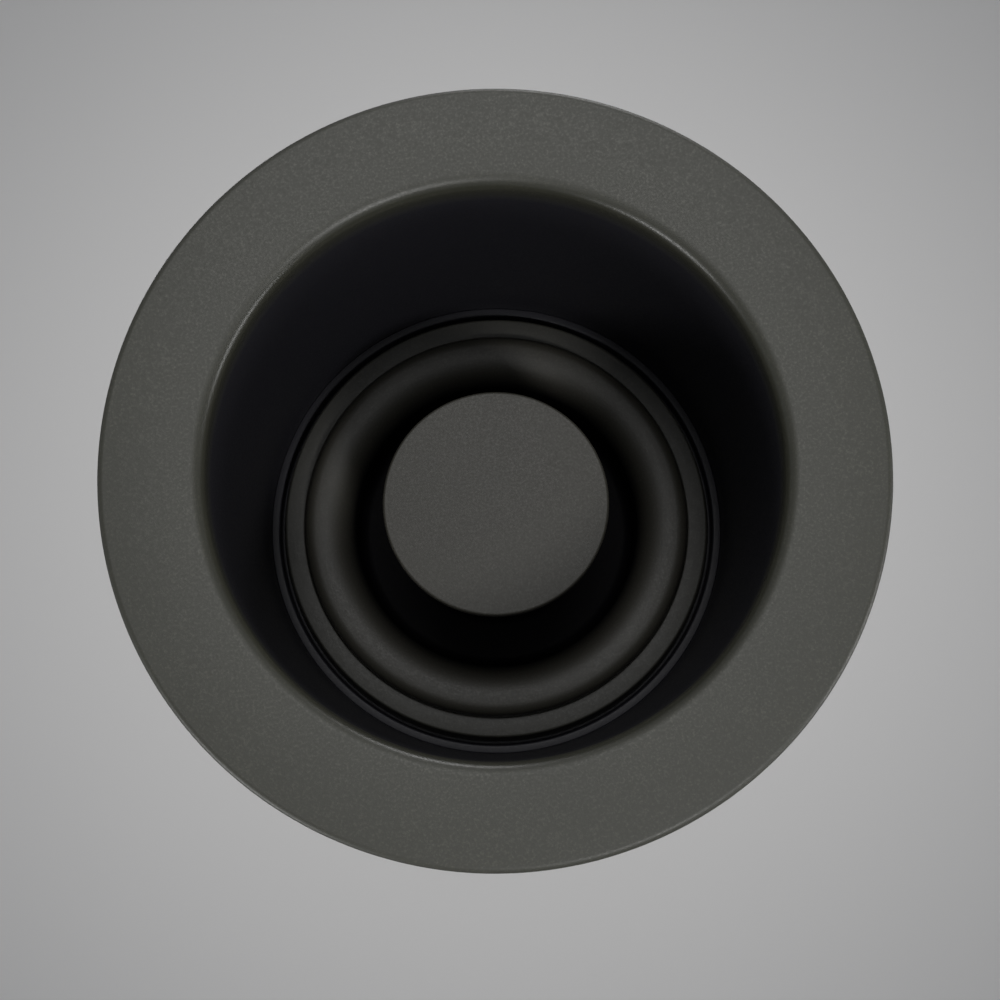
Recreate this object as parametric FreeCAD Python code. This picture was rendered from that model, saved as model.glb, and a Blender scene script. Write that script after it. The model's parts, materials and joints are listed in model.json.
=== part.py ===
import FreeCAD, Part
import math
import os

# Kitchen food-waste disposer with its three-bolt sink mount, flange and stopper.
# Millimetres. Origin: centre of the flange rim's underside, where it rests on the
# sink. +Z up, out of the sink opening; +Y towards the drain elbow; +X towards the
# dishwasher inlet.

# Sink flange: a 4 1/2 in rim on a tube that drops through a 3 1/2 in sink hole.
RIM_R = 57.15
RIM_T = 1.9
RIM_INNER_T = 1.4
THROAT_R = 42.0
TUBE_R = 43.3
MOUTH_ROUND = 3.2
LEDGE_R = 40.5
LEDGE_Z = -64.5
SEAT_Z = -67.2
DROP_R = 36.6
TUBE_END_Z = -71.0
PRESS_FIT = 0.02

# Stopper: capped knob, carrier basket and rubber seal.
CARRIER_R = 39.12
CARRIER_TOP_Z = -61.7
CARRIER_T = 2.4
CARRIER_HOLE_R = 35.44
CARRIER_SHELF_Z = -62.9
CARRIER_CUP_R = 35.0
CARRIER_FLOOR_Z = -76.0
CUP_T = 2.0
CUP_DRAIN_R = 4.0
CUP_DRAIN_CIRCLE_R = 23.0
CUP_RIB_TOP_Z = -66.0
CAP_R = 35.25
CAP_WALL = 2.6
CAP_CREST_Z = -58.6
CAP_OUTER_ROUND = 2.2
CAP_INNER_ROUND = 6.0
WELL_R = 26.0
KNOB_R = 19.0
KNOB_TOP_Z = -34.7
KNOB_NECK_R = 15.6
KNOB_FLARE_H = 5.0
KNOB_BAND_H = 2.6
SCREW_BOSS_R = 5.0
STOPPER_SCREW_R = 1.95
STOPPER_SCREW_END_Z = -61.75
SEAT_CLEARANCE = 0.05
SEAL_R = 39.9

# Three-bolt mount under the sink.
SINK_GAP = 9.0
FIBRE_T = 2.0
BACKUP_T = 3.0
CLAMP_R = 56.5
TUBE_CLEAR_R = 43.9
MOUNT_RING_TOP_Z = -56.3
MOUNT_RING_T = 4.0
MOUNT_RING_R = 60.5
SNAP_Z = -61.5
SNAP_WIRE_R = 1.1
SNAP_GROOVE_DEPTH = 0.5
BOLT_CIRCLE_R = 51.5
BOLT_R = 3.0
HOOK_ANGLES = (90.0, 210.0, 330.0)
HOOK_R = 62.6
EAR_R = 60.3
LOCK_RING_TOP_Z = -85.0
LOCK_RING_T = 3.5

# Grind chamber.
COLLAR_TOP_Z = -81.5
COLLAR_T = 3.2
COLLAR_R = 55.8
NECK_R = 49.9
NECK_BORE_R = 46.8
CHAMBER_R = 62.5
CHAMBER_BORE_R = 60.1
SHOULDER_TOP_Z = -93.0
SHOULDER_LOW_Z = -104.0
JOINT_FLANGE_R = 66.0
JOINT_FLANGE_T = 4.0
CHAMBER_END_Z = -152.0
JOINT_GASKET_T = 1.0
INLET_Z = -122.0
INLET_R = 11.1
INLET_BORE_R = 8.5
INLET_BOSS_X = 71.5
INLET_END_X = 84.5
GRIND_RING_R = 60.0
GRIND_BORE_R = 56.0
GRIND_TOP_Z = -126.0
TABLE_R = 55.6
TABLE_TOP_Z = -143.6
TABLE_T = 2.4
LUG_PIVOT_R = 36.0
LUG_T = 3.2

# Drain chamber and discharge, axis along +Y.
DRAIN_FLOOR_Z = -210.0
DRAIN_FLOOR_T = 4.0
OUTLET_Z = -187.0
OUTLET_BORE_R = 19.5
PAD_Y = 76.5
PAD_SPAN = 29.0
PAD_EAR_R = 6.5
PAD_MIDDLE_R = 23.5
FLARE_R = 21.6
PIPE_R = 19.05
PIPE_BORE_R = 17.3
BEND_R = 30.0
PIPE_TURN_Y = 92.0
PIPE_END_Z = -275.0

# Motor.
MOTOR_R = 76.0
MOTOR_BORE_R = 74.5
CAN_TOP_Z = DRAIN_FLOOR_Z - DRAIN_FLOOR_T
CAN_END_Z = -306.0
STACK_TOP_Z = -240.0
STACK_END_Z = -276.0
STATOR_R = 74.3
STATOR_BORE_R = 42.0
ROTOR_R = 41.6
SHAFT_R = 7.94
SHAFT_NECK_R = 6.0
SHAFT_TOP_Z = -136.0
SHAFT_END_Z = -321.0
SHAFT_FIT = 0.04
BEARING_R = 12.0
HUB_R = 17.0
TIE_BOLT_CIRCLE_R = 69.4
TIE_BOLT_R = 2.6
BASE_FLOOR_Z = -321.0
BASE_FLOOR_T = 3.0
BASE_Z = -330.0
BASE_FOOT_R = 70.0
CABLE_HOLE_R = 11.1
CABLE_HOLE_AT = (-47.0, 14.0)
RESET_AT = (30.0, -40.0)
RESET_R = 4.4
WRENCH_FLATS = 6.35

# Outer jacket, in two tiers either side of the clamp band.
JACKET_T = 1.8
JACKET_TOP_Z = -92.0
JACKET_SPLIT_Z = -145.0
JACKET_LOWER_TOP_Z = -160.0
JACKET_SHOULDER_R = 66.6
JACKET_SPLIT_R = 70.2
JACKET_LOWER_TOP_R = 71.6
JACKET_END_R = 75.7
SEAM = 0.3
GAP = 0.1

UP = FreeCAD.Vector(0, 0, 1)
ORIGIN = FreeCAD.Vector(0, 0, 0)


# ---- shape helpers ----------------------------------------------------------

def rounded_wire(points):
    """Closed wire in the XZ plane through (r, z) or (r, z, corner radius) points."""
    corners = [(p[0], p[1], p[2] if len(p) > 2 else 0.0) for p in points]
    runs = []
    count = len(corners)
    for i, (x, z, radius) in enumerate(corners):
        here = FreeCAD.Vector(x, 0, z)
        if radius == 0.0:
            runs.append((here, None, here))
            continue
        before = corners[i - 1]
        after = corners[(i + 1) % count]
        back = (FreeCAD.Vector(before[0], 0, before[1]) - here).normalize()
        ahead = (FreeCAD.Vector(after[0], 0, after[1]) - here).normalize()
        half = back.getAngle(ahead) / 2
        reach = radius / math.tan(half)
        inward = (back + ahead).normalize()
        middle = here + inward * (radius / math.sin(half) - radius)
        runs.append((here + back * reach, middle, here + ahead * reach))
    edges = []
    for i, (start, middle, end) in enumerate(runs):
        if middle is not None:
            edges.append(Part.Arc(start, middle, end).toShape())
        following = runs[(i + 1) % count][0]
        if (following - end).Length > 1e-6:
            edges.append(Part.LineSegment(end, following).toShape())
    return Part.Wire(edges)


def turned(points):
    """Solid turned about the Z axis from a profile of (r, z, corner radius) points."""
    return Part.Face(rounded_wire(points)).revolve(ORIGIN, UP, 360)


def tube(outer, inner, low, high):
    """Plain ring between two heights."""
    ring = Part.makeCylinder(outer, high - low, FreeCAD.Vector(0, 0, low))
    if inner <= 0:
        return ring
    return ring.cut(Part.makeCylinder(inner, high - low + 2, FreeCAD.Vector(0, 0, low - 1)))


def block(x0, x1, y0, y1, z0, z1):
    """Box between two corners."""
    return Part.makeBox(x1 - x0, y1 - y0, z1 - z0, FreeCAD.Vector(x0, y0, z0))


def rod(radius, start, end):
    """Round rod from one point to another."""
    a = FreeCAD.Vector(*start)
    b = FreeCAD.Vector(*end)
    return Part.makeCylinder(radius, (b - a).Length, a, b - a)


def around(shape, angles):
    """Copies of a shape turned about the Z axis to each angle."""
    copies = []
    for angle in angles:
        copy = shape.copy()
        copy.rotate(ORIGIN, UP, angle)
        copies.append(copy)
    return copies


def evenly(count, first=0.0):
    """Angles spaced evenly round a full turn."""
    return [first + 360.0 * i / count for i in range(count)]


def sector(outer, inner, low, high, middle, width):
    """Part of a ring, centred on one angle and width degrees wide."""
    wedge = Part.makeCylinder(outer, high - low, FreeCAD.Vector(0, 0, low), UP, width)
    if inner > 0:
        wedge = wedge.cut(Part.makeCylinder(inner, high - low + 2, FreeCAD.Vector(0, 0, low - 1)))
    wedge.rotate(ORIGIN, UP, middle - width / 2)
    return wedge


def hexagon(flats, low, high):
    """Upright hexagonal prism on the Z axis."""
    corner = flats / math.sqrt(3)
    points = []
    for i in range(7):
        angle = math.radians(60 * i)
        points.append(FreeCAD.Vector(corner * math.cos(angle), corner * math.sin(angle), low))
    return Part.Face(Part.makePolygon(points)).extrude(FreeCAD.Vector(0, 0, high - low))


def moved(shape, x, y, z=0.0):
    """Copy of a shape shifted by a distance."""
    copy = shape.copy()
    copy.translate(FreeCAD.Vector(x, y, z))
    return copy


def cut_all(shape, cutters):
    """Shape with every cutter taken away."""
    return shape.cut(Part.makeCompound(cutters))


# ---- sink flange and stopper ------------------------------------------------

def sink_flange():
    """Rolled rim and throat tube, with the snap ring's groove."""
    groove_r = TUBE_R - SNAP_GROOVE_DEPTH
    groove_low = SNAP_Z - SNAP_WIRE_R
    groove_high = SNAP_Z + SNAP_WIRE_R
    return turned([
        (RIM_R, 0.0, 0.3),
        (RIM_R, RIM_T, 1.0),
        (THROAT_R, RIM_INNER_T, MOUTH_ROUND),
        (THROAT_R, TUBE_END_Z, 0.3),
        (TUBE_R, TUBE_END_Z, 0.6),
        (TUBE_R, groove_low),
        (groove_r, groove_low),
        (groove_r, groove_high),
        (TUBE_R, groove_high),
        (TUBE_R, 0.0, 0.8),
    ])


def throat_seat():
    """Ring pressed into the throat: the ledge and the seat that the stopper rests on."""
    outer = THROAT_R - PRESS_FIT
    return turned([
        (outer, TUBE_END_Z, 0.3),
        (outer, LEDGE_Z, 0.3),
        (LEDGE_R, LEDGE_Z, 0.4),
        (LEDGE_R, SEAT_Z, 0.4),
        (DROP_R, SEAT_Z, 0.5),
        (DROP_R, TUBE_END_Z, 0.5),
    ])


def stopper_cap():
    """Flat-topped knob on a post, standing in a round-lipped well."""
    shelf = CARRIER_SHELF_Z + SEAT_CLEARANCE
    floor_under = CARRIER_FLOOR_Z + CUP_T + GAP
    floor_top = floor_under + CUP_T
    cap = turned([
        (0.0, floor_under),
        (WELL_R + CAP_WALL, floor_under, 1.0),
        (WELL_R + CAP_WALL, shelf),
        (CAP_R, shelf),
        (CAP_R, CAP_CREST_Z, CAP_OUTER_ROUND),
        (WELL_R, CAP_CREST_Z, CAP_INNER_ROUND),
        (WELL_R, floor_top, 2.0),
        (KNOB_NECK_R, floor_top, 3.0),
        (KNOB_NECK_R, KNOB_TOP_Z - KNOB_FLARE_H, 5.0),
        (KNOB_R, KNOB_TOP_Z - KNOB_BAND_H, 0.8),
        (KNOB_R, KNOB_TOP_Z, 0.5),
        (0.0, KNOB_TOP_Z),
    ])
    post_bore_r = KNOB_NECK_R - CAP_WALL
    bore_top = KNOB_TOP_Z - CAP_WALL
    hollow = turned([
        (0.0, floor_under - 1),
        (post_bore_r, floor_under - 1),
        (post_bore_r, bore_top, 2.0),
        (0.0, bore_top),
    ])
    boss = tube(SCREW_BOSS_R, 0, floor_under, bore_top + 0.5)
    screw_hole = rod(STOPPER_SCREW_R + 0.05, (0, 0, CARRIER_FLOOR_Z), (0, 0, STOPPER_SCREW_END_Z + 2))
    return cap.cut(hollow).fuse(boss).cut(screw_hole)


def stopper_carrier():
    """Rim that seats in the throat, on a drilled cup with three centring ribs."""
    low = CARRIER_FLOOR_Z
    inside_r = CARRIER_CUP_R - CUP_T
    under_rim = CARRIER_TOP_Z - CARRIER_T
    cup = turned([
        (0.0, low),
        (CARRIER_CUP_R, low, 2.0),
        (CARRIER_CUP_R, under_rim),
        (CARRIER_R, under_rim, 0.4),
        (CARRIER_R, CARRIER_TOP_Z, 0.5),
        (CARRIER_HOLE_R, CARRIER_TOP_Z, 0.4),
        (CARRIER_HOLE_R, CARRIER_SHELF_Z),
        (inside_r, CARRIER_SHELF_Z),
        (inside_r, low + CUP_T, 1.0),
        (0.0, low + CUP_T),
    ])
    drain = rod(CUP_DRAIN_R, (CUP_DRAIN_CIRCLE_R, 0, low - 1), (CUP_DRAIN_CIRCLE_R, 0, low + CUP_T + 1))
    shank_hole = rod(STOPPER_SCREW_R + 0.65, (0, 0, low - 1), (0, 0, low + CUP_T + 1))
    rib = block(WELL_R + CAP_WALL + 0.5, inside_r + 0.5, -1.0, 1.0, low + CUP_T - 0.5, CUP_RIB_TOP_Z)
    return cut_all(cup.fuse(around(rib, evenly(3))), around(drain, evenly(6, 30.0)) + [shank_hole])


def stopper_seal():
    """Rubber ring under the carrier rim, resting on the throat seat."""
    high = CARRIER_TOP_Z - CARRIER_T - 0.04
    return turned([
        (CARRIER_CUP_R + 0.15, SEAT_Z + 0.05, 0.4),
        (SEAL_R - 0.8, SEAT_Z + 0.05, 0.6),
        (SEAL_R, SEAT_Z + 1.6, 0.5),
        (CARRIER_R - 0.6, high),
        (CARRIER_CUP_R + 0.15, high),
    ])


def stopper_screw():
    """Pan-head screw that draws the cap down onto the carrier."""
    head = turned([
        (0.0, CARRIER_FLOOR_Z - 2.8),
        (3.2, CARRIER_FLOOR_Z - 2.8, 1.2),
        (4.8, CARRIER_FLOOR_Z - 0.02),
        (0.0, CARRIER_FLOOR_Z - 0.02),
    ])
    shank = rod(STOPPER_SCREW_R, (0, 0, CARRIER_FLOOR_Z - 1), (0, 0, STOPPER_SCREW_END_Z))
    slot = block(-4, 4, -0.5, 0.5, CARRIER_FLOOR_Z - 3.5, CARRIER_FLOOR_Z - 1.8)
    return head.fuse(shank).cut(slot)


# ---- three-bolt mount -------------------------------------------------------

def fibre_gasket():
    """Flat ring pressed against the underside of the sink."""
    return turned([
        (TUBE_CLEAR_R, -SINK_GAP - FIBRE_T, 0.3),
        (CLAMP_R, -SINK_GAP - FIBRE_T, 0.5),
        (CLAMP_R, -SINK_GAP, 0.5),
        (TUBE_CLEAR_R, -SINK_GAP, 0.3),
    ])


def backup_flange():
    """Steel ring that the bolts push up, stiffened by a turned-down edge and dimples."""
    top = -SINK_GAP - FIBRE_T - 0.05
    low = top - BACKUP_T
    ring = turned([
        (TUBE_CLEAR_R, low, 0.4),
        (CLAMP_R - 2.0, low, 0.6),
        (CLAMP_R - 2.0, low - 2.5),
        (CLAMP_R + 0.4, low - 2.5, 0.6),
        (CLAMP_R + 0.4, top, 1.6),
        (TUBE_CLEAR_R, top, 0.4),
    ])
    dimple = rod(BOLT_R + 0.3, (BOLT_CIRCLE_R, 0, low - 1), (BOLT_CIRCLE_R, 0, low + 0.8))
    return cut_all(ring, around(dimple, evenly(3, 30.0)))


def upper_mounting_ring():
    """Plate above the snap ring, with three threaded bosses and three hanging hooks."""
    top = MOUNT_RING_TOP_Z
    low = top - MOUNT_RING_T
    plate = turned([
        (TUBE_CLEAR_R, low, 0.4),
        (MOUNT_RING_R, low, 0.5),
        (MOUNT_RING_R, top, 1.5),
        (TUBE_CLEAR_R + 1.8, top),
        (TUBE_CLEAR_R + 1.8, top + 2.5, 0.5),
        (TUBE_CLEAR_R, top + 2.5, 0.4),
    ])
    boss = rod(5.4, (BOLT_CIRCLE_R, 0, low + 0.5), (BOLT_CIRCLE_R, 0, top + 5.0))
    pieces = around(boss, evenly(3, 30.0))
    web_r = EAR_R + 0.5
    shelf_r = 58.4
    shelf_z = LOCK_RING_TOP_Z - LOCK_RING_T - 0.3
    for angle in HOOK_ANGLES:
        pieces.append(sector(HOOK_R, MOUNT_RING_R - 3, low, low + 3.2, angle, 28.0))
        pieces.append(sector(HOOK_R, web_r, shelf_z - 2.4, low + 3.2, angle, 28.0))
        pieces.append(sector(HOOK_R, shelf_r, shelf_z - 2.4, shelf_z, angle - 4.0, 20.0))
        pieces.append(sector(HOOK_R, shelf_r, shelf_z - 2.4, LOCK_RING_TOP_Z, angle - 13.0, 2.0))
    ring = plate.fuse(pieces)
    hole = rod(BOLT_R + 0.02, (BOLT_CIRCLE_R, 0, low - 1), (BOLT_CIRCLE_R, 0, top + 9))
    return cut_all(ring, around(hole, evenly(3, 30.0))).removeSplitter()


def mounting_bolts():
    """Three long screws whose tips press the backup flange up."""
    tip_z = -SINK_GAP - FIBRE_T - BACKUP_T + 0.6
    head_z = MOUNT_RING_TOP_Z - MOUNT_RING_T - 5.5
    head_t = 4.0
    shank = turned([
        (0.0, head_z),
        (BOLT_R, head_z),
        (BOLT_R, tip_z, 1.2),
        (0.0, tip_z),
    ])
    head = hexagon(10.0, head_z - head_t, head_z)
    slot = block(-6, 6, -0.7, 0.7, head_z - head_t - 1, head_z - head_t + 1.5)
    bolt = moved(shank.fuse(head).cut(slot), BOLT_CIRCLE_R, 0)
    return Part.makeCompound(around(bolt, evenly(3, 30.0)))


def snap_ring():
    """Open wire ring sprung into the tube's groove."""
    ring = Part.makeTorus(TUBE_R - 0.45 + SNAP_WIRE_R, SNAP_WIRE_R - 0.03, FreeCAD.Vector(0, 0, SNAP_Z))
    return ring.cut(sector(50.0, 0, SNAP_Z - 3, SNAP_Z + 3, 180.0, 12.0))


def mounting_gasket():
    """Rubber cushion on the chamber collar, with a slit splash baffle across the drop."""
    top = TUBE_END_Z - 0.1
    low = COLLAR_TOP_Z + 0.1
    sheet_r = 46.2
    sheet_top = -83.5
    sheet_t = 2.0
    cushion = turned([
        (DROP_R + 2.4, top - 3.2, 0.8),
        (DROP_R + 2.4, top, 0.6),
        (TUBE_R + 0.4, top),
        (TUBE_R + 0.4, top + 5.0, 0.6),
        (TUBE_R + 2.0, top + 5.0, 0.6),
        (TUBE_R + 2.4, top - 1.0, 1.0),
        (COLLAR_R - 0.5, top - 1.0, 2.0),
        (COLLAR_R + 1.6, low, 1.0),
        (COLLAR_R + 1.6, COLLAR_TOP_Z - 2.6, 0.4),
        (COLLAR_R + 0.1, COLLAR_TOP_Z - 2.6, 0.4),
        (COLLAR_R + 0.1, low, 0.2),
        (sheet_r + 0.3, low),
        (sheet_r + 0.3, sheet_top - sheet_t - 3.0, 0.8),
        (sheet_r - 1.7, sheet_top - sheet_t - 3.0, 0.8),
        (sheet_r - 1.7, top - 5.2, 2.0),
    ])
    baffle = tube(sheet_r - 1.0, 7.0, sheet_top - sheet_t, sheet_top)
    slit = block(5.0, 36.0, -0.6, 0.6, sheet_top - sheet_t - 1, sheet_top + 1)
    return cut_all(cushion.fuse(baffle), around(slit, evenly(8, 22.5)))


def lower_mounting_ring():
    """Turning ring below the collar, with three ears for the hooks and three grip tabs."""
    top = LOCK_RING_TOP_Z
    low = top - LOCK_RING_T
    ring = turned([
        (NECK_R + 0.6, low, 0.4),
        (57.9, low, 0.6),
        (57.9, top, 0.6),
        (NECK_R + 0.6, top, 0.4),
    ])
    ears = [sector(EAR_R, 56.0, low, top - 0.5, angle - 2.0, 15.0) for angle in HOOK_ANGLES]
    tabs = []
    for angle in HOOK_ANGLES:
        tabs.append(sector(63.4, 56.5, low, top - 1.0, angle + 60.0, 10.0))
        tabs.append(sector(63.4, 61.6, low, top + 5.5, angle + 60.0, 10.0))
    return ring.fuse(ears + tabs).removeSplitter()


# ---- grind chamber ----------------------------------------------------------

def grind_container():
    """Collared neck, shoulder and cylindrical chamber, with the dishwasher inlet."""
    low = CHAMBER_END_Z
    shell = turned([
        (NECK_BORE_R, COLLAR_TOP_Z, 0.4),
        (COLLAR_R, COLLAR_TOP_Z, 0.8),
        (COLLAR_R, COLLAR_TOP_Z - COLLAR_T, 0.6),
        (NECK_R, COLLAR_TOP_Z - COLLAR_T, 0.8),
        (NECK_R, SHOULDER_TOP_Z, 3.0),
        (CHAMBER_R, SHOULDER_LOW_Z, 6.0),
        (CHAMBER_R, low + JOINT_FLANGE_T, 1.0),
        (JOINT_FLANGE_R, low + JOINT_FLANGE_T, 0.6),
        (JOINT_FLANGE_R, low, 0.4),
        (CHAMBER_BORE_R, low, 0.2),
        (CHAMBER_BORE_R, SHOULDER_LOW_Z - 1.0, 6.0),
        (NECK_BORE_R, SHOULDER_TOP_Z - 2.0, 3.0),
    ])
    boss = rod(15.0, (CHAMBER_R - 3.5, 0, INLET_Z), (INLET_BOSS_X, 0, INLET_Z))
    nipple = rod(INLET_R, (CHAMBER_R - 3.5, 0, INLET_Z), (INLET_END_X, 0, INLET_Z))
    bore = rod(INLET_BORE_R, (40.0, 0, INLET_Z), (INLET_END_X + 1, 0, INLET_Z))
    chamber_space = tube(CHAMBER_BORE_R, 0, low - 1, SHOULDER_LOW_Z - 3)
    return shell.fuse([boss, nipple]).cut(chamber_space).cut(bore).removeSplitter()


def knockout_plug():
    """Thin disc that closes the dishwasher inlet until it is driven out."""
    disc = rod(INLET_BORE_R - 0.02, (65.0, 0, INLET_Z), (67.0, 0, INLET_Z))
    rib = rod(3.0, (66.5, 0, INLET_Z), (69.0, 0, INLET_Z))
    return disc.fuse(rib)


def grind_ring():
    """Stationary shredding ring with cutting slots along its lower edge."""
    low = CHAMBER_END_Z + 0.5
    ring = turned([
        (GRIND_BORE_R, low, 0.2),
        (GRIND_RING_R, low, 0.2),
        (GRIND_RING_R, GRIND_TOP_Z, 0.6),
        (GRIND_BORE_R + 1.6, GRIND_TOP_Z, 1.0),
        (GRIND_BORE_R, GRIND_TOP_Z - 5.0, 1.0),
    ])
    slot = block(GRIND_BORE_R - 2, GRIND_BORE_R + 2.2, -1.6, 1.6, low - 1, low + 13.0)
    return cut_all(ring, around(slot, evenly(30)))


def turntable():
    """Rotating shredder plate with drain holes, a raised edge and a hub."""
    low = TABLE_TOP_Z - TABLE_T
    plate = turned([
        (SHAFT_NECK_R + 0.02, low - 6.0),
        (HUB_R, low - 6.0, 1.0),
        (HUB_R, low, 1.0),
        (TABLE_R, low, 0.4),
        (TABLE_R, TABLE_TOP_Z + 1.2, 0.4),
        (TABLE_R - 2.0, TABLE_TOP_Z + 1.2, 0.4),
        (TABLE_R - 2.0, TABLE_TOP_Z, 0.4),
        (SHAFT_NECK_R + 0.02, TABLE_TOP_Z),
    ])
    hole = rod(2.6, (46.0, 0, low - 1), (46.0, 0, TABLE_TOP_Z + 1))
    pin_hole = rod(4.0, (LUG_PIVOT_R, 0, low - 1), (LUG_PIVOT_R, 0, TABLE_TOP_Z + 1))
    return cut_all(plate, around(hole, evenly(10, 18.0)) + around(pin_hole, evenly(2)))


def swivel_lug(angle):
    """Impeller arm that swings about its rivet, with an upturned striking end."""
    low = TABLE_TOP_Z + 0.15
    half_width = 7.5
    tip = 15.5
    arm = block(-1, tip, -half_width, half_width, low, low + LUG_T)
    heel = rod(9.0, (0, 0, low), (0, 0, low + LUG_T))
    hammer = block(tip - 7.0, tip, -half_width, half_width, low, low + 10.0)
    slope = Part.makeCylinder(10.0, 4 * half_width, FreeCAD.Vector(tip - 9.0, -2 * half_width, low + 13.0),
                              FreeCAD.Vector(0, 1, 0))
    lug = arm.fuse([heel, hammer]).cut(slope).cut(rod(4.06, (0, 0, low - 1), (0, 0, low + LUG_T + 9)))
    swing = Part.makeCylinder(17.4, 30, FreeCAD.Vector(0, 0, low - 1))
    lug = moved(lug.common(swing), LUG_PIVOT_R, 0)
    lug.rotate(ORIGIN, UP, angle)
    return lug


def lug_rivets():
    """Two headed pins that hold the swivel lugs on the turntable."""
    low = TABLE_TOP_Z - TABLE_T
    lug_top = TABLE_TOP_Z + 0.15 + LUG_T
    rivet = turned([
        (0.0, low - 2.0),
        (6.0, low - 2.0, 1.5),
        (6.0, low - 0.02),
        (4.0 - 0.02, low - 0.02),
        (4.0 - 0.02, lug_top + 0.15),
        (6.6, lug_top + 0.15),
        (6.6, lug_top + 2.2, 1.8),
        (0.0, lug_top + 2.2),
    ])
    return Part.makeCompound(around(moved(rivet, LUG_PIVOT_R, 0), evenly(2)))


def turntable_nut():
    """Flanged nut that clamps the turntable on the shaft."""
    washer = tube(12.5, SHAFT_NECK_R + 0.02, TABLE_TOP_Z + 0.02, TABLE_TOP_Z + 1.6)
    body = hexagon(16.0, TABLE_TOP_Z + 1.0, SHAFT_TOP_Z - 1.5)
    return washer.fuse(body.cut(rod(SHAFT_NECK_R + 0.02, (0, 0, -160), (0, 0, -130))))


def chamber_gasket():
    """Thin sealing ring between the grind and drain chambers."""
    top = CHAMBER_END_Z - 0.02
    return tube(JOINT_FLANGE_R - 0.6, CHAMBER_BORE_R + 0.2, top - JOINT_GASKET_T + 0.04, top)


def chamber_clamp():
    """Open channel band that draws the two chamber flanges together."""
    high = CHAMBER_END_Z + JOINT_FLANGE_T + 0.1
    low = CHAMBER_END_Z - JOINT_GASKET_T - JOINT_FLANGE_T - 0.1
    lip_r = CHAMBER_R + 1.4
    inner_r = JOINT_FLANGE_R + 0.1
    outer_r = JOINT_FLANGE_R + 2.4
    band = turned([
        (lip_r, low - 1.2, 0.3),
        (outer_r, low - 1.2, 1.2),
        (outer_r, high + 1.2, 1.2),
        (lip_r, high + 1.2, 0.3),
        (lip_r, high),
        (inner_r, high),
        (inner_r, low),
        (lip_r, low),
    ])
    band = band.cut(sector(90, 0, low - 5, high + 5, 180.0, 12.0))
    middle = (high + low) / 2
    tab_y = outer_r * math.sin(math.radians(6.0))
    tabs = []
    for side in (-1, 1):
        near = side * tab_y
        far = side * (tab_y + 2.2)
        tab = block(-outer_r - 10.0, -outer_r + 1.6, min(near, far), max(near, far), middle - 5, middle + 5)
        tabs.append(tab)
    hole = rod(2.6, (-outer_r - 5.0, -20, middle), (-outer_r - 5.0, 20, middle))
    return band.fuse(tabs).cut(hole)


def clamp_bolt():
    """Screw and nut across the band's two tabs."""
    middle = CHAMBER_END_Z - JOINT_GASKET_T / 2
    x = -JOINT_FLANGE_R - 2.4 - 5.0
    tab_y = (JOINT_FLANGE_R + 2.4) * math.sin(math.radians(6.0)) + 2.2
    shank = rod(2.5, (x, -tab_y - 6, middle), (x, tab_y + 2, middle))
    ends = []
    for y0 in (tab_y + 0.05, -tab_y - 4.05):
        head = hexagon(8.0, 0, 4.0)
        head.rotate(ORIGIN, FreeCAD.Vector(1, 0, 0), -90)
        ends.append(moved(head, x, y0, middle))
    return shank.fuse(ends)


# ---- drain chamber and discharge --------------------------------------------

def oval_plate(half_span, end_r, middle_r, y0, y1):
    """Two-eared plate across the discharge axis."""
    ears = [rod(end_r, (x, y0, OUTLET_Z), (x, y1, OUTLET_Z)) for x in (-half_span, half_span)]
    bridge = block(-half_span, half_span, y0, y1, OUTLET_Z - end_r, OUTLET_Z + end_r)
    return rod(middle_r, (0, y0, OUTLET_Z), (0, y1, OUTLET_Z)).fuse(ears + [bridge])


def drain_housing():
    """Cup below the turntable that carries the outlet, shaft seal and upper bearing."""
    top = CHAMBER_END_Z - JOINT_GASKET_T
    floor = DRAIN_FLOOR_Z
    under = CAN_TOP_Z
    cup = turned([
        (BEARING_R, under - 10.0, 0.5),
        (HUB_R, under - 10.0, 1.5),
        (HUB_R, under, 1.0),
        (MOTOR_BORE_R - 3.0, under),
        (MOTOR_BORE_R - 3.0, under - 3.0, 0.4),
        (MOTOR_BORE_R - GAP, under - 3.0, 0.4),
        (MOTOR_BORE_R - GAP, under),
        (MOTOR_R, under, 0.4),
        (MOTOR_R, floor, 1.0),
        (CHAMBER_R, floor, 2.0),
        (CHAMBER_R, top - JOINT_FLANGE_T, 1.0),
        (JOINT_FLANGE_R, top - JOINT_FLANGE_T, 0.6),
        (JOINT_FLANGE_R, top, 0.4),
        (CHAMBER_BORE_R, top, 0.2),
        (CHAMBER_BORE_R, floor, 6.0),
        (HUB_R + 6.0, floor, 3.0),
        (HUB_R, floor + 14.0, 1.5),
        (BEARING_R + 1.0, floor + 14.0, 0.3),
        (BEARING_R + 1.0, floor + 8.0),
        (BEARING_R, floor + 8.0),
    ])
    neck = rod(OUTLET_BORE_R + 3.0, (0, CHAMBER_BORE_R - 8, OUTLET_Z), (0, PAD_Y, OUTLET_Z))
    pad = oval_plate(PAD_SPAN, PAD_EAR_R, PAD_MIDDLE_R, PAD_Y - 5.0, PAD_Y)
    inside = tube(CHAMBER_BORE_R, 0, floor + 6.0, top + 1)
    outlet = rod(OUTLET_BORE_R, (0, 40.0, OUTLET_Z), (0, PAD_Y + 1, OUTLET_Z))
    taps = [rod(2.5, (x, PAD_Y - 6, OUTLET_Z), (x, PAD_Y + 1, OUTLET_Z)) for x in (-PAD_SPAN, PAD_SPAN)]
    tie = rod(TIE_BOLT_R, (TIE_BOLT_CIRCLE_R, 0, under - 4), (TIE_BOLT_CIRCLE_R, 0, floor - 1.0))
    housing = cup.fuse([neck.cut(inside), pad])
    return cut_all(housing, [outlet] + taps + around(tie, evenly(4, 45.0))).removeSplitter()


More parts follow.
